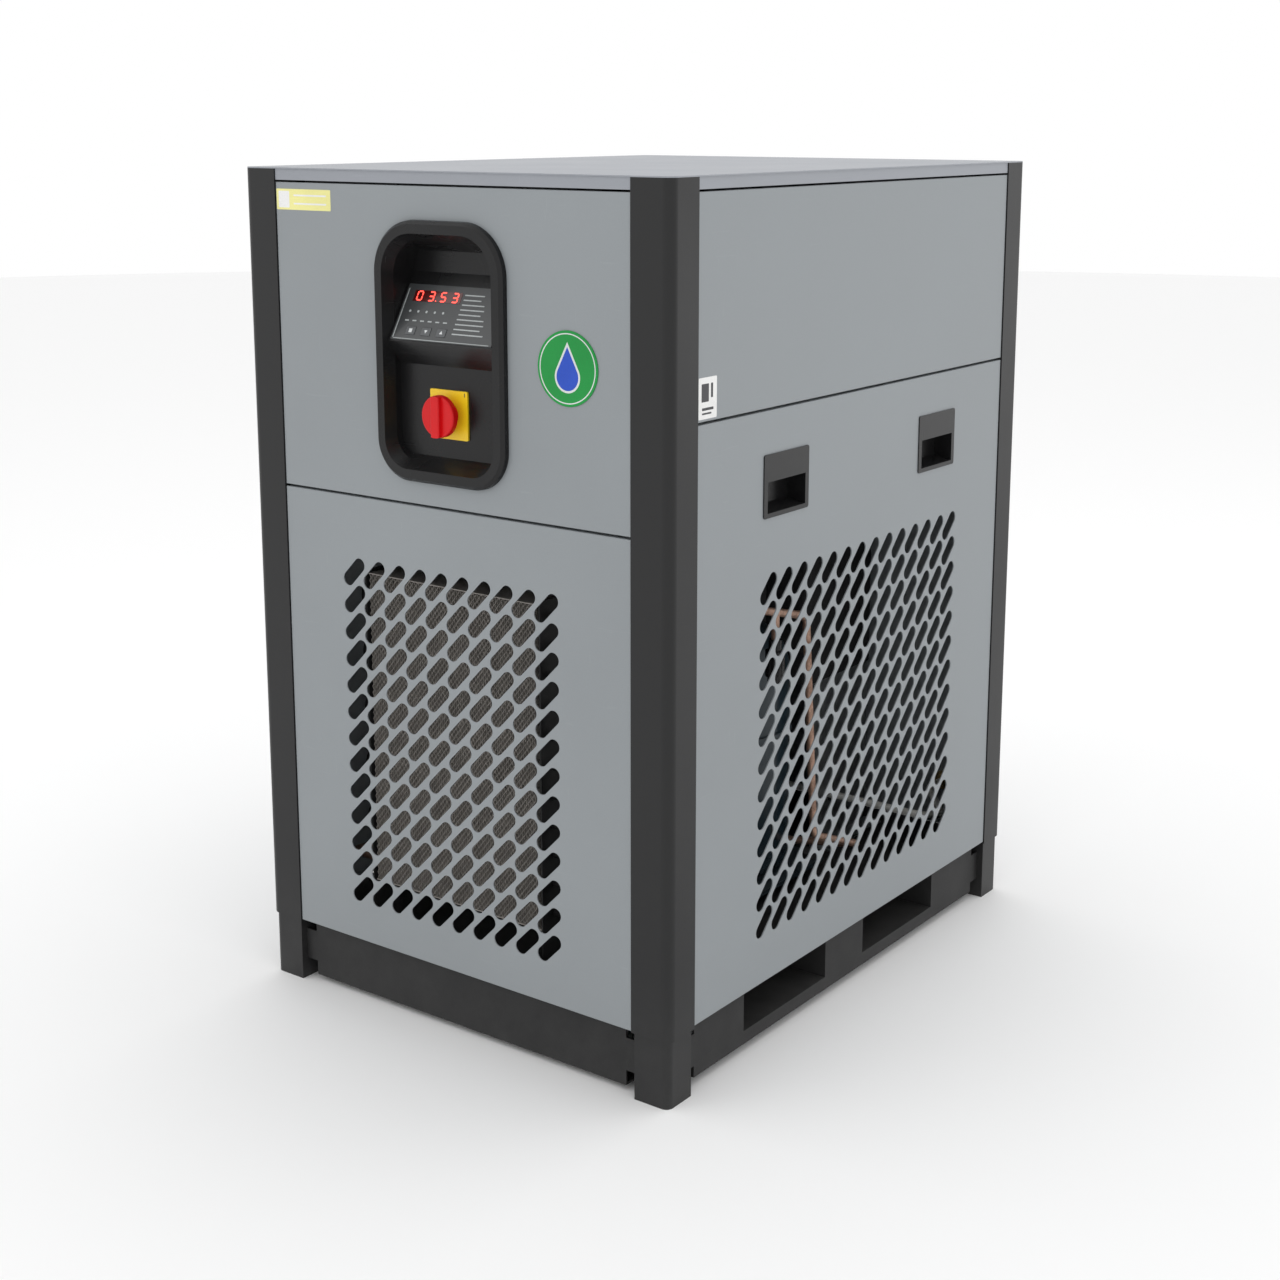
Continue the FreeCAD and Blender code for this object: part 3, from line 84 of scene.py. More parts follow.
def add_slab(bm, size, matrix, round_off=0.0, material=0):
    """A flat block with rounded corners; its size is along the matrix's own axes and its back is at z = 0."""
    made = bmesh.ops.create_cube(bm, size=1.0)["verts"]
    bmesh.ops.scale(bm, vec=size, verts=made)
    bmesh.ops.translate(bm, vec=(0, 0, size[2] / 2), verts=made)
    if round_off:
        corners = {
            e for v in made for e in v.link_edges if abs(e.verts[0].co.z - e.verts[1].co.z) > size[2] / 2
        }
        bevelled = bmesh.ops.bevel(
            bm, geom=list(corners), offset=round_off, affect="EDGES", segments=5, profile=0.5, material=-1
        )
        made = list({v for v in made if v.is_valid} | set(bevelled["verts"]))
    for face in {f for v in made for f in v.link_faces}:
        face.material_index = material
    bmesh.ops.transform(bm, matrix=matrix, verts=made)
    return made


def add_disc(bm, radius, thick, matrix, segments=64, material=0):
    """A thin round plate whose back is at z = 0 of the matrix."""
    made = bmesh.ops.create_cone(
        bm, cap_ends=True, segments=segments, radius1=radius, radius2=radius, depth=thick
    )["verts"]
    bmesh.ops.translate(bm, vec=(0, 0, thick / 2), verts=made)
    for face in {f for v in made for f in v.link_faces}:
        face.material_index = material
    bmesh.ops.transform(bm, matrix=matrix, verts=made)
    return made


def add_outline(bm, points, thick, matrix, material=0):
    """A thin plate with a given outline in its own XY plane, whose back is at z = 0 of the matrix."""
    start = [bm.verts.new((x, y, 0)) for x, y in points]
    back = bm.faces.new(start)
    pushed = bmesh.ops.extrude_face_region(bm, geom=[back], use_keep_orig=True)["geom"]
    front = [v for v in pushed if isinstance(v, bmesh.types.BMVert)]
    bmesh.ops.translate(bm, vec=(0, 0, thick), verts=front)
    made = start + front
    faces = list({f for v in made for f in v.link_faces})
    bmesh.ops.recalc_face_normals(bm, faces=faces)
    for face in faces:
        face.material_index = material
    bmesh.ops.transform(bm, matrix=matrix, verts=made)
    return made


def facing_front(x, y, z):
    """Own X to the right and own Y up, as seen from the front; own Z towards the viewer."""
    return Matrix.Translation((x, y, z)) @ Matrix.Rotation(math.radians(90), 4, "X")


def facing_right(x, y, z):
    """The same for a face that looks along +X."""
    return Matrix.Translation((x, y, z)) @ Matrix.Rotation(math.radians(90), 4, "Z") @ Matrix.Rotation(
        math.radians(90), 4, "X"
    )


def facing_rear(x, y, z):
    """The same for a face that looks along +Y."""
    return Matrix.Translation((x, y, z)) @ Matrix.Rotation(math.radians(180), 4, "Z") @ Matrix.Rotation(
        math.radians(90), 4, "X"
    )


# ================================================================ node helpers
def add_node(tree, kind, inputs=None, **settings):
    """Adds a node, makes its settings, and fills or wires its inputs by name or number."""
    made = tree.nodes.new(kind)
    for key, value in settings.items():
        setattr(made, key, value)
    for key, value in (inputs or {}).items():
        if isinstance(value, bpy.types.NodeSocket):
            tree.links.new(value, made.inputs[key])
        else:
            made.inputs[key].default_value = value
    return made


def new_group(name, inputs, outputs):
    """An empty shader node group with its sockets. Returns the tree, its input node and its output node."""
    tree = bpy.data.node_groups.new(name, "ShaderNodeTree")
    for label, kind, value in inputs:
        tree.interface.new_socket(label, in_out="INPUT", socket_type=kind).default_value = value
    for label, kind in outputs:
        tree.interface.new_socket(label, in_out="OUTPUT", socket_type=kind)
    return tree, tree.nodes.new("NodeGroupInput"), tree.nodes.new("NodeGroupOutput")


def object_noise(tree, scale, detail=2.0, roughness=0.5, stretch=(1.0, 1.0, 1.0)):
    """Noise on the piece's own coordinates, in cycles per metre."""
    where = add_node(tree, "ShaderNodeTexCoord").outputs["Object"]
    if stretch != (1.0, 1.0, 1.0):
        where = add_node(tree, "ShaderNodeMapping", {"Vector": where, "Scale": stretch}).outputs["Vector"]
    noise = add_node(
        tree,
        "ShaderNodeTexNoise",
        {"Vector": where, "Scale": scale, "Detail": detail, "Roughness": roughness},
    )
    return noise.outputs["Fac"]


def math_node(tree, operation, a, b=0.5, clamp=False):
    return add_node(tree, "ShaderNodeMath", {0: a, 1: b}, operation=operation, use_clamp=clamp).outputs[0]


def remap(tree, value, from_low, from_high, to_low, to_high):
    """Takes a value from one range to another, without leaving the second."""
    return add_node(
        tree,
        "ShaderNodeMapRange",
        {"Value": value, "From Min": from_low, "From Max": from_high, "To Min": to_low, "To Max": to_high},
    ).outputs[0]


def shade(tree, color, factor):
    """A colour made lighter or darker by a factor."""
    scaled = add_node(tree, "ShaderNodeVectorMath", {0: color, "Scale": factor}, operation="SCALE")
    return scaled.outputs[0]


def blend_color(tree, factor, a, b):
    mix = add_node(tree, "ShaderNodeMix", {"Factor": factor}, data_type="RGBA")
    for key, value in ((6, a), (7, b)):
        if isinstance(value, bpy.types.NodeSocket):
            tree.links.new(value, mix.inputs[key])
        else:
            mix.inputs[key].default_value = value
    return mix.outputs[2]


SURFACE_IN = [
    ("Color", "NodeSocketColor", (0.5, 0.5, 0.5, 1.0)),
    ("Roughness", "NodeSocketFloat", 0.5),
    ("Scale", "NodeSocketFloat", 1.0),
]
SURFACE_OUT = [("Color", "NodeSocketColor"), ("Roughness", "NodeSocketFloat"), ("Height", "NodeSocketFloat")]


def finish_group(tree, outlet, color, roughness, height):
    for label, source in (("Color", color), ("Roughness", roughness), ("Height", height)):
        tree.links.new(source, outlet.inputs[label])
    return tree


def powder_coat_group():
    """Baked powder: a soft orange peel, fine speckle, and slow drifts of shade and gloss."""
    tree, inlet, outlet = new_group("Powder Coat", SURFACE_IN, SURFACE_OUT)
    drift = object_noise(tree, 3.2, 3.0, 0.55)
    peel = object_noise(tree, 420.0, 2.5, 0.6)
    speckle = object_noise(tree, 2400.0, 1.0)
    tone = math_node(
        tree, "ADD", remap(tree, drift, 0.3, 0.7, 0.955, 1.035), remap(tree, speckle, 0.3, 0.7, -0.03, 0.03)
    )
    gloss = math_node(tree, "ADD", inlet.outputs["Roughness"], remap(tree, drift, 0.3, 0.7, -0.05, 0.06))
    gloss = math_node(tree, "ADD", gloss, remap(tree, speckle, 0.3, 0.7, -0.03, 0.03), clamp=True)
    relief = math_node(tree, "MULTIPLY", peel, inlet.outputs["Scale"])
    return finish_group(tree, outlet, shade(tree, inlet.outputs["Color"], tone), gloss, relief)


def moulded_grain_group():
    """Spark-eroded mould grain: small rounded cells with a finer noise over them."""
    tree, inlet, outlet = new_group("Moulded Grain", SURFACE_IN, SURFACE_OUT)
    where = add_node(tree, "ShaderNodeTexCoord").outputs["Object"]
    cells = add_node(tree, "ShaderNodeTexVoronoi", {"Vector": where, "Scale": 900.0}).outputs["Distance"]
    fine = object_noise(tree, 2600.0, 2.0)
    drift = object_noise(tree, 9.0, 3.0, 0.6)
    relief = math_node(tree, "ADD", cells, remap(tree, fine, 0.3, 0.7, -0.2, 0.2))
    relief = math_node(tree, "MULTIPLY", relief, inlet.outputs["Scale"])
    gloss = math_node(
        tree, "ADD", inlet.outputs["Roughness"], remap(tree, drift, 0.3, 0.7, -0.07, 0.08), clamp=True
    )
    tone = math_node(
        tree, "ADD", remap(tree, drift, 0.3, 0.7, 0.9, 1.08), remap(tree, cells, 0.0, 0.8, -0.06, 0.06)
    )
    return finish_group(tree, outlet, shade(tree, inlet.outputs["Color"], tone), gloss, relief)


def rolled_metal_group():
    """Rolled or drawn metal: long fine lines along Z, with a broad mottle of oxide."""
    tree, inlet, outlet = new_group("Rolled Metal", SURFACE_IN, SURFACE_OUT)
    lines = object_noise(tree, 900.0, 2.0, 0.6, (1.0, 1.0, 0.02))
    mottle = object_noise(tree, 45.0, 4.0, 0.65)
    tone = math_node(
        tree, "ADD", remap(tree, mottle, 0.3, 0.7, 0.86, 1.1), remap(tree, lines, 0.3, 0.7, -0.05, 0.05)
    )
    gloss = math_node(tree, "ADD", inlet.outputs["Roughness"], remap(tree, mottle, 0.3, 0.7, -0.1, 0.12))
    gloss = math_node(tree, "ADD", gloss, remap(tree, lines, 0.3, 0.7, -0.05, 0.05), clamp=True)
    relief = math_node(tree, "MULTIPLY", lines, inlet.outputs["Scale"])
    return finish_group(tree, outlet, shade(tree, inlet.outputs["Color"], tone), gloss, relief)


def tarnish_group():
    """Copper and brass in air: dull brown clouds over bright metal."""
    tree, inlet, outlet = new_group("Tarnish", SURFACE_IN, SURFACE_OUT)
    cloud = object_noise(tree, 38.0, 5.0, 0.6)
    spots = object_noise(tree, 320.0, 2.0)
    mixed = math_node(tree, "MULTIPLY", cloud, remap(tree, spots, 0.3, 0.7, 0.85, 1.15))
    cover = remap(tree, mixed, 0.42, 0.66, 0.0, 0.75)
    dull = shade(tree, inlet.outputs["Color"], 0.45)
    color = blend_color(tree, cover, inlet.outputs["Color"], dull)
    gloss = math_node(
        tree, "ADD", inlet.outputs["Roughness"], math_node(tree, "MULTIPLY", cover, 0.3), clamp=True
    )
    relief = math_node(tree, "MULTIPLY", spots, inlet.outputs["Scale"])
    return finish_group(tree, outlet, color, gloss, relief)


def foam_group():
    """Closed-cell foam: a skin of small pits."""
    tree, inlet, outlet = new_group("Foam Skin", SURFACE_IN, SURFACE_OUT)
    where = add_node(tree, "ShaderNodeTexCoord").outputs["Object"]
    pits = add_node(tree, "ShaderNodeTexVoronoi", {"Vector": where, "Scale": 420.0}).outputs["Distance"]
    drift = object_noise(tree, 14.0, 3.0)
    color = shade(
        tree, inlet.outputs["Color"], remap(tree, math_node(tree, "ADD", pits, drift), 0.3, 1.4, 0.7, 1.25)
    )
    relief = math_node(tree, "MULTIPLY", pits, inlet.outputs["Scale"])
    gloss = math_node(
        tree, "ADD", inlet.outputs["Roughness"], remap(tree, drift, 0.3, 0.7, -0.04, 0.04), clamp=True
    )
    return finish_group(tree, outlet, color, gloss, relief)


def handling_group():
    """Use: hairline scratches and faint smears from hands and cloths."""
    tree, inlet, outlet = new_group(
        "Handling",
        [SURFACE_IN[0], SURFACE_IN[1], ("Amount", "NodeSocketFloat", 0.3)],
        SURFACE_OUT[:2],
    )
    across = object_noise(tree, 300.0, 2.0, 0.5, (0.06, 0.06, 1.0))
    along = object_noise(tree, 260.0, 2.0, 0.5, (1.0, 1.0, 0.07))
    scratch = math_node(
        tree, "MAXIMUM", remap(tree, across, 0.7, 0.74, 0.0, 1.0), remap(tree, along, 0.71, 0.75, 0.0, 1.0)
    )
    smear = remap(tree, object_noise(tree, 7.0, 4.0, 0.6, (1.0, 1.0, 0.55)), 0.48, 0.68, 0.0, 1.0)
    scratch = math_node(tree, "MULTIPLY", scratch, inlet.outputs["Amount"])
    smear = math_node(tree, "MULTIPLY", smear, inlet.outputs["Amount"])
    tone = math_node(tree, "ADD", 1.0, math_node(tree, "MULTIPLY", scratch, 0.15))
    tone = math_node(tree, "SUBTRACT", tone, math_node(tree, "MULTIPLY", smear, 0.05))
    gloss = math_node(tree, "ADD", inlet.outputs["Roughness"], math_node(tree, "MULTIPLY", scratch, 0.15))
    gloss = math_node(tree, "SUBTRACT", gloss, math_node(tree, "MULTIPLY", smear, 0.12), clamp=True)
    tree.links.new(shade(tree, inlet.outputs["Color"], tone), outlet.inputs["Color"])
    tree.links.new(gloss, outlet.inputs["Roughness"])
    return tree


DUST_COLOR = (0.3, 0.295, 0.285, 1.0)


def dust_group():
    """Dust: a thin film low down and on whatever faces up."""
    tree, inlet, outlet = new_group(
        "Dust",
        [SURFACE_IN[0], SURFACE_IN[1], ("Amount", "NodeSocketFloat", 0.3)],
        SURFACE_OUT[:2],
    )
    where = add_node(tree, "ShaderNodeTexCoord").outputs["Object"]
    height = add_node(tree, "ShaderNodeSeparateXYZ", {0: where}).outputs["Z"]
    normal = add_node(tree, "ShaderNodeNewGeometry").outputs["Normal"]
    up = add_node(tree, "ShaderNodeSeparateXYZ", {0: normal}).outputs["Z"]
    low = remap(tree, height, 0.0, 0.16, 0.5, 0.0)
    settled = math_node(tree, "ADD", low, remap(tree, up, 0.5, 1.0, 0.0, 0.3))
    patch = remap(tree, object_noise(tree, 22.0, 5.0, 0.65), 0.3, 0.7, 0.35, 1.0)
    film = math_node(tree, "MULTIPLY", settled, patch)
    film = math_node(tree, "MULTIPLY", film, inlet.outputs["Amount"], clamp=True)
    tree.links.new(blend_color(tree, film, inlet.outputs["Color"], DUST_COLOR), outlet.inputs["Color"])
    tree.links.new(
        math_node(
            tree, "ADD", inlet.outputs["Roughness"], math_node(tree, "MULTIPLY", film, 0.4), clamp=True
        ),
        outlet.inputs["Roughness"],
    )
    return tree


GROUPS = {}


def surface_group(name):
    """Builds a shared node group the first time that a material asks for it."""
    makers = {
        "Powder Coat": powder_coat_group,
        "Moulded Grain": moulded_grain_group,
        "Rolled Metal": rolled_metal_group,
        "Tarnish": tarnish_group,
        "Foam Skin": foam_group,
        "Handling": handling_group,
        "Dust": dust_group,
    }
    if name not in GROUPS:
        GROUPS[name] = makers[name]()
    return GROUPS[name]


# ================================================================ finishes
class Finish:
    """One surface: its texture group, colour, gloss, relief in metres, and how worn and dusty it is."""

    def __init__(
        self,
        texture,
        color,
        roughness,
        metallic=0.0,
        relief=0.0001,
        wear=0.3,
        dust=0.3,
        coat=0.0,
        glow=0.0,
        shine=0.5,
    ):
        self.texture = texture
        self.color = (*color, 1.0)
        self.roughness = roughness
        self.metallic = metallic
        self.relief = relief
        self.wear = wear
        self.dust = dust
        self.coat = coat
        self.glow = glow
        self.shine = shine

    def material(self, name):
        """Builds the material: texture, then handling, then dust, then the shader."""
        made = bpy.data.materials.new(name)
        made.use_nodes = True
        tree = made.node_tree
        shader = tree.nodes["Principled BSDF"]
        skin = add_node(tree, "ShaderNodeGroup", node_tree=surface_group(self.texture))
        skin.inputs["Color"].default_value = self.color
        skin.inputs["Roughness"].default_value = self.roughness
        color, roughness = skin.outputs["Color"], skin.outputs["Roughness"]
        for layer, amount in (("Handling", self.wear), ("Dust", self.dust)):
            if amount:
                worn = add_node(tree, "ShaderNodeGroup", node_tree=surface_group(layer))
                tree.links.new(color, worn.inputs["Color"])
                tree.links.new(roughness, worn.inputs["Roughness"])
                worn.inputs["Amount"].default_value = amount
                color, roughness = worn.outputs["Color"], worn.outputs["Roughness"]
        bump = add_node(
            tree,
            "ShaderNodeBump",
            {"Height": skin.outputs["Height"], "Strength": 1.0, "Distance": self.relief},
        )
        tree.links.new(color, shader.inputs["Base Color"])
        tree.links.new(roughness, shader.inputs["Roughness"])
        tree.links.new(bump.outputs["Normal"], shader.inputs["Normal"])
        shader.inputs["Metallic"].default_value = self.metallic
        shader.inputs["Specular IOR Level"].default_value = self.shine
        shader.inputs["Coat Weight"].default_value = self.coat
        shader.inputs["Coat Roughness"].default_value = 0.12
        if self.glow:
            shader.inputs["Emission Color"].default_value = self.color
            shader.inputs["Emission Strength"].default_value = self.glow
        return made


def all_finishes(look):
    """The finish of each material slot of the record, and of the print and labels made here."""
    grey, cover, black = tuple(look.panel_color), tuple(look.cover_color), tuple(look.post_color)
    return {
        "post_black": Finish("Powder Coat", black, 0.4, relief=0.00005, wear=0.25, dust=0.12, shine=0.3),
        "frame_black": Finish(
            "Powder Coat", (0.013, 0.013, 0.0135), 0.55, relief=0.0001, wear=0.25, dust=0.15, shine=0.3
        ),
        "panel_grey": Finish("Powder Coat", grey, 0.46, relief=0.00005, wear=0.25, dust=0.12, shine=0.4),
        "cover_grey": Finish("Powder Coat", cover, 0.42, relief=0.00005, wear=0.3, dust=0.1),
        "black_plastic": Finish(
            "Moulded Grain", (0.0095, 0.0095, 0.01), 0.24, relief=0.00006, wear=0.2, dust=0.05, shine=0.3
        ),
        "grey_plastic": Finish("Moulded Grain", (0.14, 0.14, 0.15), 0.5, relief=0.00008),
        "white_plastic": Finish("Moulded Grain", (0.75, 0.74, 0.7), 0.35, relief=0.00003),
        "fascia_grey": Finish(
            "Moulded Grain", (0.045, 0.048, 0.05), 0.32, relief=0.00003, wear=0.3, dust=0.15, coat=0.2
        ),
        "red_window": Finish(
            "Moulded Grain", (0.07, 0.003, 0.003), 0.14, relief=0.00001, dust=0.05, coat=0.5
        ),
        "key_grey": Finish("Moulded Grain", (0.1, 0.105, 0.11), 0.5, relief=0.00005),
        "yellow_plastic": Finish(
            "Moulded Grain", (0.92, 0.62, 0.012), 0.34, relief=0.00004, wear=0.25, dust=0.05
        ),
        "red_plastic": Finish(
            "Moulded Grain", (0.6, 0.003, 0.006), 0.3, relief=0.00004, wear=0.2, dust=0.03, shine=0.3
        ),
        "badge_green_blue": Finish(
            "Moulded Grain", (0.005, 0.27, 0.045), 0.24, relief=0.00002, wear=0.2, dust=0.03, shine=0.35
        ),
        "zinc_steel": Finish("Rolled Metal", (0.58, 0.59, 0.6), 0.3, 0.95, relief=0.00002),
        "galvanised": Finish("Rolled Metal", (0.36, 0.38, 0.39), 0.42, 0.85, relief=0.00003),
        "copper": Finish("Tarnish", (0.5, 0.32, 0.24), 0.4, 0.8, relief=0.00002, wear=0.2, dust=0.25),
        "brass": Finish("Tarnish", (0.7, 0.52, 0.26), 0.28, 1.0, relief=0.00002, wear=0.3, dust=0.15),
        "fin_aluminium": Finish(
            "Rolled Metal", (0.36, 0.335, 0.31), 0.5, 0.3, relief=0.00002, wear=0.0, dust=0.35
        ),
        "cast_aluminium": Finish("Foam Skin", (0.5, 0.5, 0.52), 0.5, 0.9, relief=0.00008),
        "fan_black": Finish("Powder Coat", (0.014, 0.014, 0.014), 0.5),
        "motor_black": Finish("Powder Coat", (0.012, 0.012, 0.013), 0.45),
        "compressor_paint": Finish("Powder Coat", (0.012, 0.026, 0.036), 0.3, relief=0.00005, coat=0.3),
        "pump_iron": Finish("Foam Skin", (0.1, 0.1, 0.1), 0.6, 0.8, relief=0.0001),
        "rubber_black": Finish("Moulded Grain", (0.016, 0.016, 0.016), 0.75, relief=0.00006),
        "foam_black": Finish("Foam Skin", (0.018, 0.018, 0.019), 0.85, relief=0.0003),
        "print_pale": Finish("Moulded Grain", (0.42, 0.45, 0.45), 0.4, relief=0.00001, wear=0.2, dust=0.05),
        "print_white": Finish("Moulded Grain", (0.68, 0.7, 0.7), 0.4, relief=0.00001, wear=0.2, dust=0.05),
        "print_blue": Finish(
            "Moulded Grain", (0.018, 0.075, 0.5), 0.24, relief=0.00002, wear=0.2, dust=0.03, shine=0.35
        ),
        "print_dark": Finish("Moulded Grain", (0.03, 0.03, 0.035), 0.4, relief=0.00001, wear=0.2, dust=0.1),
        "label_yellow": Finish("Moulded Grain", (0.8, 0.76, 0.3), 0.4, relief=0.00002, wear=0.2, dust=0.05),
        "label_white": Finish("Moulded Grain", (0.78, 0.78, 0.77), 0.4, relief=0.00002, wear=0.2, dust=0.05),
        "glowing_red": Finish(
            "Moulded Grain", (1.0, 0.07, 0.05), 0.3, relief=0.00001, wear=0.0, dust=0.0, glow=2.2
        ),
    }


MATERIALS = {}


def material(name):
    """The built material of a finish, made once."""
    if name not in MATERIALS:
        MATERIALS[name] = all_finishes(bpy.context.scene.dryer_look)[name].material(name)
    return MATERIALS[name]


# ================================================================ settings
class DryerLook(bpy.types.PropertyGroup):
    """Colours of the painted parts."""

    panel_color: FloatVectorProperty(
        name="Panels",
        description="Grey of the sheet panels",
        subtype="COLOR",
        default=(0.262, 0.283, 0.297),
        min=0,
        max=1,
    )
    cover_color: FloatVectorProperty(
        name="Cover",
        description="Grey of the top cover",
        subtype="COLOR",
        default=(0.285, 0.3, 0.33),
        min=0,
        max=1,
    )
    post_color: FloatVectorProperty(
        name="Posts",
        description="Black of the corner posts",
        subtype="COLOR",
        default=(0.016, 0.016, 0.0165),
        min=0,
        max=1,
    )


class DryerCondenser(bpy.types.PropertyGroup):
    """The condenser's fin pack."""

    fin_pitch: FloatProperty(name="Fin pitch", description="From fin to fin", default=3.4 * MM, unit="LENGTH")
    fin_thick: FloatProperty(
        name="Fin sheet", description="Thickness of a fin", default=0.5 * MM, unit="LENGTH"
    )
    fin_wave: FloatProperty(
        name="Fin wave", description="Width of the pressed waves", default=2.2 * MM, unit="LENGTH"
    )
    wave_length: FloatProperty(
        name="Wave", description="Length of the pressed waves", default=8.5 * MM, unit="LENGTH"
    )


class DryerDisplay(bpy.types.PropertyGroup):
    """The controller's face, on a plane that leans back."""

    lean: FloatProperty(
        name="Lean", description="From level to the face", default=math.radians(60), subtype="ANGLE"
    )
    digit_height: FloatProperty(
        name="Digit", description="Height of a digit", default=11.2 * MM, unit="LENGTH"
    )


class DryerStage(bpy.types.PropertyGroup):
    """Camera, floor and light."""

    camera_place: FloatVectorProperty(
        name="Camera", description="Where the camera stands", subtype="XYZ", default=(1.532, -2.101, 1.125)
    )
    camera_tilt: FloatProperty(
        name="Tilt", description="Below the horizon", default=math.radians(11.49), subtype="ANGLE"
    )
    camera_turn: FloatProperty(
        name="Turn", description="About the vertical", default=math.radians(36.55), subtype="ANGLE"
    )
    lens: FloatProperty(name="Lens", description="Focal length in millimetres", default=55.25)
    shift_up: FloatProperty(name="Shift", description="Vertical lens shift", default=-0.10)
    floor_color: FloatVectorProperty(
        name="Floor",
        description="Colour of the floor",
        subtype="COLOR",
        default=(0.93, 0.93, 0.93),
        min=0,
        max=1,
    )


# ================================================================ operators
class DRYER_OT_finish_nodes(bpy.types.Operator):
    """Give every CAD node the finish of its material slot"""

    bl_idname = "dryer.finish_nodes"
    bl_label = "Finish the CAD nodes"

    def execute(self, context):
        for entry in frame["record"]["subparts"]:
            node = NODES[entry["node"]]
            if not node.material_slots:
                node.data.materials.append(None)
            for slot in node.material_slots:
                slot.material = material(entry["material_slot"])
        return {"FINISHED"}


FIN_INSET = 1.5 * MM  # from the CAD block's faces to the fins
END_PLATE = 1.2 * MM  # thickness of the plate over and under the fins


class DRYER_OT_make_fins(bpy.types.Operator):
    """Make the condenser's close, waved fins"""

    bl_idname = "dryer.make_fins"
    bl_label = "Condenser fins"

    def execute(self, context):
        sizes = context.scene.dryer_condenser
        low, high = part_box("condenser_fins")
        bm = bmesh.new()
        inset = FIN_INSET
        tall = high.z - low.z - 2 * inset
        steps = 2 * round(tall / sizes.wave_length)
        for side in (1, -1):
            x = low.x + inset + (1 - side) / 2 * sizes.fin_pitch
            rail = []
            for i in range(steps + 1):
                wave = side * (i % 2 - 0.5) * sizes.fin_wave
                rail.append(bm.verts.new((x + wave, low.y + inset, low.z + inset + tall * i / steps)))
            edges = [bm.edges.new(pair) for pair in zip(rail, rail[1:])]
            pushed = bmesh.ops.extrude_edge_only(bm, edges=edges)["geom"]
            back = [v for v in pushed if isinstance(v, bmesh.types.BMVert)]
            bmesh.ops.translate(bm, vec=(0, high.y - low.y - 2 * inset, 0), verts=back)
        bmesh.ops.solidify(bm, geom=bm.faces[:], thickness=sizes.fin_thick)
        pair = bm.verts[:] + bm.edges[:] + bm.faces[:]
        count = int((high.x - low.x - 2 * inset) / (2 * sizes.fin_pitch))
        for i in range(1, count):
            copy = bmesh.ops.duplicate(bm, geom=pair)["geom"]
            moved = [v for v in copy if isinstance(v, bmesh.types.BMVert)]
            bmesh.ops.translate(bm, vec=(2 * i * sizes.fin_pitch, 0, 0), verts=moved)
        for z in (low.z, high.z - END_PLATE):
            middle = ((low.x + high.x) / 2, (low.y + high.y) / 2, z)
            add_slab(bm, (high.x - low.x, high.y - low.y, END_PLATE), Matrix.Translation(middle))
        bmesh.ops.recalc_face_normals(bm, faces=bm.faces)
        piece = link_piece("fin_pack", bm, "cabinet", [material("fin_aluminium")])
        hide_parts("condenser_fins")
        return {"FINISHED"}


FASCIA_START = 2 * MM  # from the slope's foot to the plate
FASCIA_THICK = 1 * MM
WINDOW_UP = 59 * MM  # the window's middle, up the slope
WINDOW_TOP = 1.3 * MM  # the window's face, out of the plate's seat
KEY_UP = 14 * MM  # a key's middle, up the slope
KEY_TOP = 1.9 * MM  # a key's top, out of the plate's seat
LIST_LINES = 9
LIST_PITCH = 6.2 * MM
MARKS_START = -62 * MM  # the first mark over the keys, from the middle


def display_plane(context):
    """The seat of the controller's face: own X across, own Y up the slope, own Z out of it."""
    low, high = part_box("controller_fascia")
    lean = context.scene.dryer_display.lean
    out = Vector((0, -math.sin(lean), math.cos(lean)))
    up = Vector((0, math.cos(lean), math.sin(lean)))
    across = Vector((1, 0, 0))
    # the plate starts FASCIA_START up the slope, and its outer lower edge is the box's foremost line
    edge = Vector(((low.x + high.x) / 2, low.y, low.z))
    foot = edge - up * FASCIA_START - Vector((0, out.y * FASCIA_THICK, 0))
    turn = Matrix((across, up, out)).transposed().to_4x4()
    return Matrix.Translation(foot) @ turn


DIGIT_SEGMENTS = {"0": "abcdef", "3": "abcdg", "5": "acdfg"}
READING = "0353"
DIGIT_SHAPE = 0.68  # a digit's width over its height


def add_digit(bm, sign, height, matrix):
    """One seven-segment digit whose lower left corner is at the matrix."""
    width, bar = height * DIGIT_SHAPE, height * 0.15
    places = {
        "a": (width / 2, height, True),
        "g": (width / 2, height / 2, True),
        "d": (width / 2, 0, True),
        "b": (width, height * 0.75, False),
        "c": (width, height * 0.25, False),
        "f": (0, height * 0.75, False),
        "e": (0, height * 0.25, False),
    }
    for segment in DIGIT_SEGMENTS[sign]:
        x, y, level = places[segment]
        length = width * 0.84 if level else height / 2 * 0.84
        size = (length, bar, 0.15 * MM) if level else (bar, length, 0.15 * MM)
        add_slab(bm, size, matrix @ Matrix.Translation((x, y, 0)), bar * 0.4)


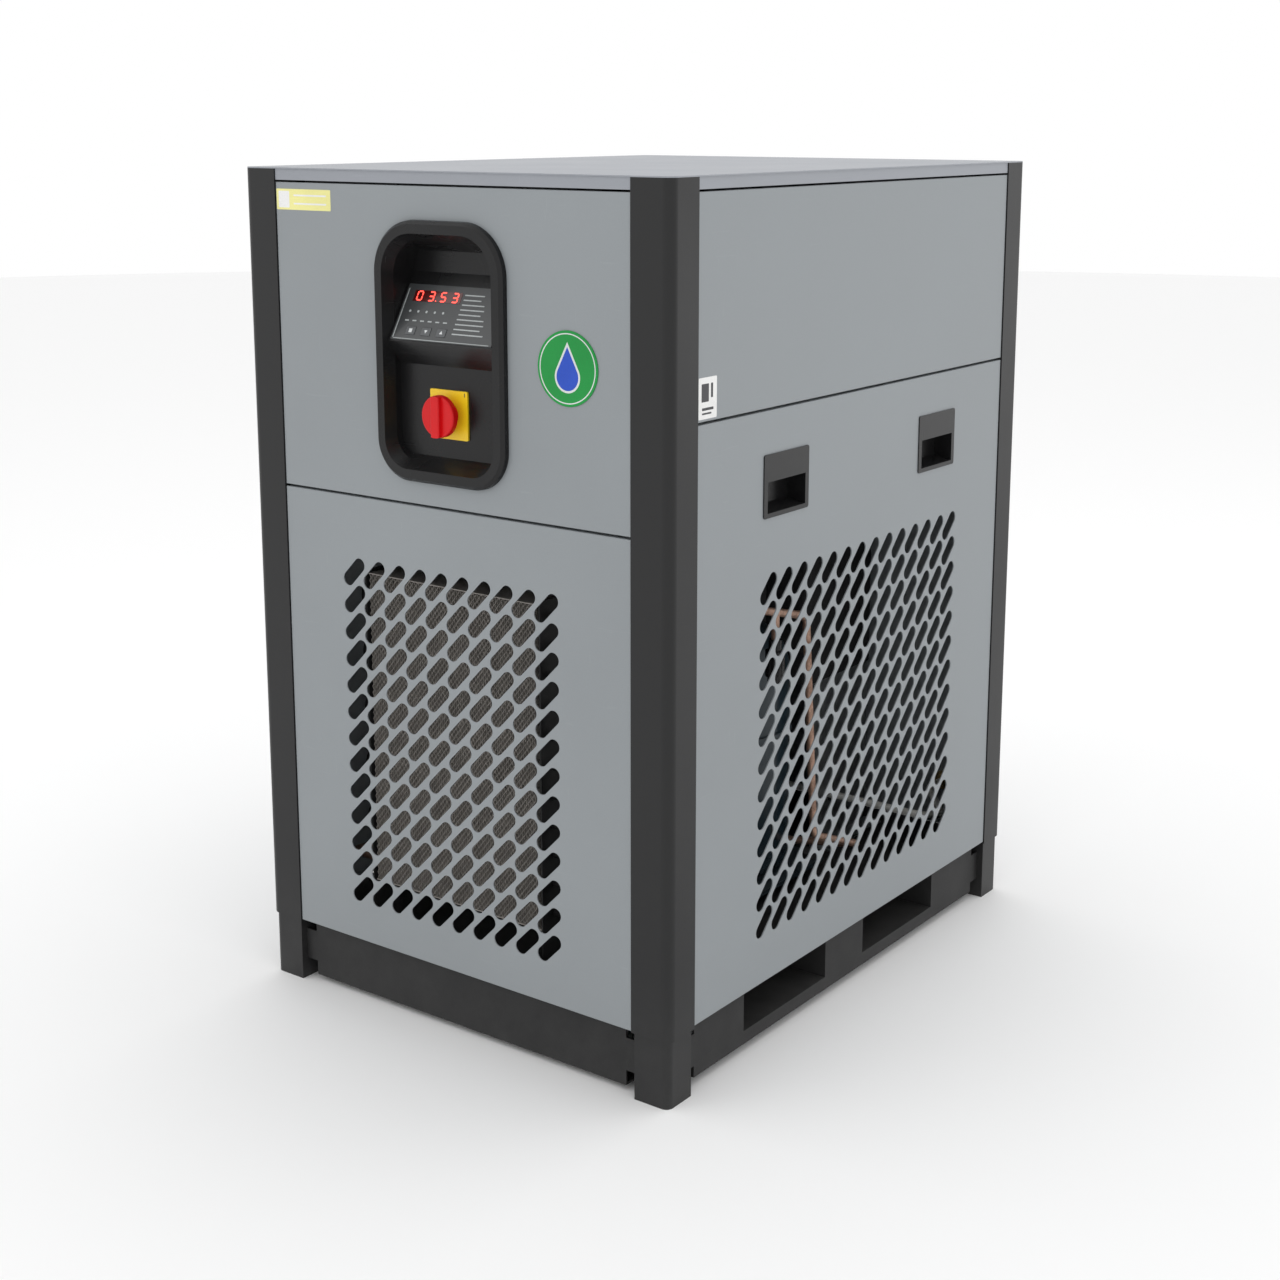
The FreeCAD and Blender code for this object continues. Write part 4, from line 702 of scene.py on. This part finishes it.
class DRYER_OT_make_display(bpy.types.Operator):
    """Make the glowing digits and the print on the controller's face"""

    bl_idname = "dryer.make_display"
    bl_label = "Controller display"

    def execute(self, context):
        face = display_plane(context)
        low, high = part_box("controller_fascia")
        half = (high.x - low.x) / 2
        # digits, in the window that lies left of the middle
        window_low, window_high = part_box("led_window")
        height = context.scene.dryer_display.digit_height
        middle_x = (window_low.x + window_high.x) / 2 - (low.x + high.x) / 2
        slope = (high.z - low.z) / math.sin(context.scene.dryer_display.lean)
        pitch = (window_high.x - window_low.x) / len(READING)
        bm = bmesh.new()
        for i, sign in enumerate(READING):
            x = middle_x + (i - (len(READING) - 1) / 2) * pitch - height * DIGIT_SHAPE / 2
            add_digit(bm, sign, height, face @ Matrix.Translation((x, WINDOW_UP - height / 2, WINDOW_TOP)))
        point = face @ Matrix.Translation((middle_x - pitch * 0.04, WINDOW_UP - height / 2, WINDOW_TOP))
        add_disc(bm, 0.8 * MM, 0.12 * MM, point, 16)
        link_piece("led_digits", bm, "cabinet", [material("glowing_red")])
        # print: a border line, a list of short lines at the right, and small marks over the keys
        bm = bmesh.new()
        thick = 0.12 * MM

        def line(x, y, width, tall):
            add_slab(bm, (width, tall, thick), face @ Matrix.Translation((x, y, FASCIA_THICK)))

        line(-half + 3 * MM, slope / 2, 1.4 * MM, slope - 9 * MM)
        line(0, 3.5 * MM, 2 * half - 8 * MM, 0.8 * MM)
        for i in range(LIST_LINES):
            width = (30 + 2.1 * i - 5 * (i % 3 == 1)) * MM
            line(14 * MM + width / 2, slope - 9 * MM - i * LIST_PITCH, width, 1.5 * MM)
        for i in range(6):
            line(MARKS_START + i * 12 * MM, 27 * MM, 6 * MM, 1.6 * MM)
        for i in range(5):
            place = face @ Matrix.Translation((MARKS_START + i * 13 * MM, 39 * MM, FASCIA_THICK))
            add_disc(bm, 1.6 * MM, thick, place, 20)
        link_piece("display_print", bm, "cabinet", [material("print_pale")])
        return {"FINISHED"}


class DRYER_OT_make_key_marks(bpy.types.Operator):
    """Make the mark on each key: a square, an arrow down and an arrow up"""

    bl_idname = "dryer.make_key_marks"
    bl_label = "Key marks"

    def execute(self, context):
        face = display_plane(context)
        low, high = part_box("controller_fascia")
        start = (low.x + high.x) / 2
        size = 2.4 * MM
        outlines = {
            "set": [(-size, -size), (size, -size), (size, size), (-size, size)],
            "down": [(-size, size * 0.7), (0, -size), (size, size * 0.7)],
            "up": [(-size, -size * 0.7), (size, -size * 0.7), (0, size)],
        }
        for name, outline in outlines.items():
            key_low, key_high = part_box(name + "_key")
            x = (key_low.x + key_high.x) / 2 - start
            bm = bmesh.new()
            add_outline(bm, outline, 0.1 * MM, face @ Matrix.Translation((x, KEY_UP, KEY_TOP)))
            link_piece(name + "_key_mark", bm, name + "_button", [material("print_white")])
        return {"FINISHED"}


class DRYER_OT_make_switch_marks(bpy.types.Operator):
    """Make the marks on the main switch's yellow plate"""

    bl_idname = "dryer.make_switch_marks"
    bl_label = "Switch marks"

    def execute(self, context):
        low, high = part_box("switch_plate")
        middle_x, middle_z = (low.x + high.x) / 2, (low.z + high.z) / 2
        reach = (high.x - low.x) / 2 - 3.2 * MM
        bm = bmesh.new()
        at = facing_front(middle_x, low.y, middle_z)
        add_slab(
            bm, (1.2 * MM, 4.5 * MM, 0.1 * MM), at @ Matrix.Translation((reach - 1 * MM, reach - 1 * MM, 0))
        )
        add_disc(bm, 2.2 * MM, 0.1 * MM, at @ Matrix.Translation((-reach + 1 * MM, -reach + 1 * MM, 0)), 24)
        link_piece("switch_marks", bm, "cabinet", [material("print_dark")])
        return {"FINISHED"}


class DRYER_OT_make_badge(bpy.types.Operator):
    """Make the print of the round badge: a pale ring and a blue drop of water"""

    bl_idname = "dryer.make_badge"
    bl_label = "Round badge"

    def execute(self, context):
        low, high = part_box("round_badge")
        radius = (high.x - low.x) / 2
        at = facing_front((low.x + high.x) / 2, low.y, (low.z + high.z) / 2)
        thick = 0.08 * MM
        bm = bmesh.new()
        # ring
        profile = [(radius * 0.9, 0), (radius * 0.93, 0), (radius * 0.93, thick), (radius * 0.9, thick)]
        loop = [bm.verts.new((r, 0, z)) for r, z in profile]
        edges = [bm.edges.new((loop[i], loop[(i + 1) % 4])) for i in range(4)]
        bmesh.ops.spin(
            bm, geom=loop + edges, cent=(0, 0, 0), axis=(0, 0, 1), angle=math.tau, steps=96, use_merge=True
        )
        bmesh.ops.recalc_face_normals(bm, faces=bm.faces)
        bmesh.ops.transform(bm, matrix=at, verts=bm.verts)
        # drop: a circle whose upper part is drawn out to a point
        for scale, lift, index in ((1.0, 0.0, 0), (0.86, thick, 1)):
            round_r = radius * 0.42 * scale
            tip = radius * 0.92 * scale
            spread = math.acos(round_r / tip)
            steps = 40
            outline = [(0, tip)]
            for i in range(steps + 1):
                a = math.pi / 2 + spread + (math.tau - 2 * spread) * i / steps
                outline.append((round_r * math.cos(a), round_r * math.sin(a)))
            place = at @ Matrix.Translation((0, -radius * 0.22, lift))
            add_outline(bm, outline, thick, place, index)
        inks = [material("print_white"), material("print_blue")]
        link_piece("badge_print", bm, "cabinet", inks)
        return {"FINISHED"}


class DRYER_OT_make_labels(bpy.types.Operator):
    """Make the plain labels: one on the upper front panel, one on the upper right panel"""

    bl_idname = "dryer.make_labels"
    bl_label = "Plain labels"

    def execute(self, context):
        low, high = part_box("front_upper_panel")
        width, tall, thick = 92 * MM, 25 * MM, 0.15 * MM
        at = facing_front(low.x + 1.5 * MM + width / 2, low.y, high.z - 8 * MM - tall / 2)
        bm = bmesh.new()
        add_slab(bm, (width, tall, thick), at, 1.2 * MM)
        ink = 0.05 * MM
        place = at @ Matrix.Translation((-width * 0.36, 0, thick))
        add_slab(bm, (width * 0.2, tall * 0.8, ink), place, 1 * MM, 1)
        for y in (tall * 0.2, -tall * 0.2):
            place = at @ Matrix.Translation((width * 0.12, y, thick))
            add_slab(bm, (width * 0.6, tall * 0.08, ink), place, 0, 1)
        link_piece(
            "front_label", bm, "cabinet", [material("label_yellow"), material("label_white")]
        )

        low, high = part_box("right_upper_panel")
        width, tall = 35 * MM, 46 * MM
        at = facing_right(high.x, low.y + 2 * MM + width / 2, low.z + 3 * MM + tall / 2)
        bm = bmesh.new()
        add_slab(bm, (width, tall, thick), at, 1.5 * MM)
        for x, y, w, t in ((-5, 6, 14, 20), (8, 8, 4, 16), (0, -12, 22, 3), (-2, -17, 18, 2)):
            place = at @ Matrix.Translation((x * MM, y * MM, thick))
            add_slab(bm, (w * MM, t * MM, ink), place, 0.6 * MM, 1)
        link_piece(
            "side_label", bm, "cabinet", [material("label_white"), material("print_dark")]
        )
        return {"FINISHED"}


ARROW = [(-14, -4), (2, -4), (2, -10), (15, 0), (2, 10), (2, 4), (-14, 4)]
ARROW_UNIT = 0.8 * MM


class DRYER_OT_make_port_threads(bpy.types.Operator):
    """Make the thread ridges inside the air ports, and an arrow for each direction of flow"""

    bl_idname = "dryer.make_port_threads"
    bl_label = "Port threads and arrows"

    def execute(self, context):
        panel_low, panel_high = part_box("rear_upper_panel")
        low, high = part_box("air_ports")
        ports = {m["name"]: m for m in frame["record"]["mounts"] if m["name"] in ("air_inlet", "air_outlet")}
        bm = bmesh.new()
        pitch, ridge = 2.3 * MM, 1.1 * MM
        for mount in ports.values():
            x, _, z = mount["pos_m"]
            radius = mount["dims"]["r_mm"] * MM
            turns = int(mount["dims"]["length_mm"] * MM / pitch) - 2
            for i in range(turns):
                y = high.y - 2.5 * MM - i * pitch
                foot = radius + 0.05 * MM
                corners = [(foot, -pitch * 0.5), (radius - ridge, 0), (foot, pitch * 0.5)]
                loop = [bm.verts.new((x + r, y + dy, z)) for r, dy in corners]
                edges = [bm.edges.new((loop[k], loop[(k + 1) % 3])) for k in range(3)]
                bmesh.ops.spin(
                    bm,
                    geom=loop + edges,
                    cent=(x, y, z),
                    axis=(0, 1, 0),
                    angle=math.tau,
                    steps=48,
                    use_merge=True,
                )
        bmesh.ops.recalc_face_normals(bm, faces=bm.faces)
        link_piece("port_threads", bm, "cabinet", [material("brass")])
        bm = bmesh.new()
        arrow = [(x * ARROW_UNIT, y * ARROW_UNIT) for x, y in ARROW]
        for name, mount in ports.items():
            x, _, z = mount["pos_m"]
            place = facing_rear(x, panel_high.y, z - 62 * MM)
            add_slab(bm, (44 * MM, 30 * MM, 0.15 * MM), place, 2 * MM, 0)
            turn = Matrix.Rotation(math.radians(90 if name == "air_inlet" else -90), 4, "Z")
            add_outline(bm, arrow, 0.06 * MM, place @ Matrix.Translation((0, 0, 0.15 * MM)) @ turn, 1)
        link_piece(
            "flow_labels", bm, "cabinet", [material("label_white"), material("print_blue")]
        )
        return {"FINISHED"}


FLOOR_RADIUS = 12.0
LIGHTS_AIM = Vector((0, 0, 0.5))
LIGHTS = (  # name, place, side in metres, watts
    ("front_light", (-2.4, -3.6, 2.6), 2.6, 14.0),
    ("side_light", (3.0, 3.4, 0.9), 1.6, 8.0),
    ("top_light", (0.3, 0.6, 4.0), 3.0, 22.0),
)


class DRYER_OT_make_stage(bpy.types.Operator):
    """Set the floor, the lights, the surroundings and the camera"""

    bl_idname = "dryer.make_stage"
    bl_label = "Stage"

    def execute(self, context):
        stage = context.scene.dryer_stage
        bm = bmesh.new()
        bmesh.ops.create_circle(bm, cap_ends=True, segments=96, radius=FLOOR_RADIUS)
        mesh = bpy.data.meshes.new("floor")
        bm.to_mesh(mesh)
        bm.free()
        floor = bpy.data.objects.new("floor", mesh)
        context.scene.collection.objects.link(floor)
        paint = bpy.data.materials.new("floor_paint")
        paint.use_nodes = True
        shader = paint.node_tree.nodes["Principled BSDF"]
        shader.inputs["Base Color"].default_value = (*stage.floor_color, 1.0)
        shader.inputs["Roughness"].default_value = 0.75
        mesh.materials.append(paint)

        context.scene.view_settings.view_transform = "Standard"
        world = bpy.data.worlds.new("studio")
        world.use_nodes = True
        world.node_tree.nodes["Background"].inputs["Color"].default_value = (1.0, 1.0, 1.0, 1.0)
        world.node_tree.nodes["Background"].inputs["Strength"].default_value = 1.0
        context.scene.world = world

        for name, place, size, power in LIGHTS:
            light = bpy.data.lights.new(name, "AREA")
            light.shape = "SQUARE"
            light.size = size
            light.energy = power
            lamp = bpy.data.objects.new(name, light)
            lamp.location = place
            lamp.rotation_euler = (LIGHTS_AIM - Vector(place)).to_track_quat("-Z", "Y").to_euler()
            context.scene.collection.objects.link(lamp)

        lens = bpy.data.cameras.new("camera")
        lens.lens = stage.lens
        lens.sensor_width = 36.0
        lens.shift_y = stage.shift_up
        camera = bpy.data.objects.new("camera", lens)
        camera.location = stage.camera_place
        camera.rotation_euler = (math.radians(90) - stage.camera_tilt, 0, stage.camera_turn)
        context.scene.collection.objects.link(camera)
        context.scene.camera = camera
        return {"FINISHED"}


class DRYER_PT_panel(bpy.types.Panel):
    """Lists the dryer's settings and steps"""

    bl_idname = "DRYER_PT_panel"
    bl_label = "Air Dryer"
    bl_space_type = "VIEW_3D"
    bl_region_type = "UI"
    bl_category = "Dryer"

    def draw(self, context):
        for group in (context.scene.dryer_look, context.scene.dryer_condenser, context.scene.dryer_display):
            for name in group.bl_rna.properties.keys()[2:]:
                self.layout.prop(group, name)
        for operator in OPERATORS:
            self.layout.operator(operator.bl_idname)


SETTINGS = {
    "dryer_look": DryerLook,
    "dryer_condenser": DryerCondenser,
    "dryer_display": DryerDisplay,
    "dryer_stage": DryerStage,
}
OPERATORS = (
    DRYER_OT_finish_nodes,
    DRYER_OT_make_fins,
    DRYER_OT_make_display,
    DRYER_OT_make_key_marks,
    DRYER_OT_make_switch_marks,
    DRYER_OT_make_badge,
    DRYER_OT_make_labels,
    DRYER_OT_make_port_threads,
    DRYER_OT_make_stage,
)


def register():
    for cls in (*SETTINGS.values(), *OPERATORS, DRYER_PT_panel):
        bpy.utils.register_class(cls)
    for name, cls in SETTINGS.items():
        setattr(bpy.types.Scene, name, PointerProperty(type=cls))


def unregister():
    for name in SETTINGS:
        delattr(bpy.types.Scene, name)
    for cls in (DRYER_PT_panel, *reversed(OPERATORS), *reversed(tuple(SETTINGS.values()))):
        bpy.utils.unregister_class(cls)


def main():
    register()
    for operator in OPERATORS:
        family, name = operator.bl_idname.split(".")
        getattr(getattr(bpy.ops, family), name)()


if __name__ == "__main__":
    main()
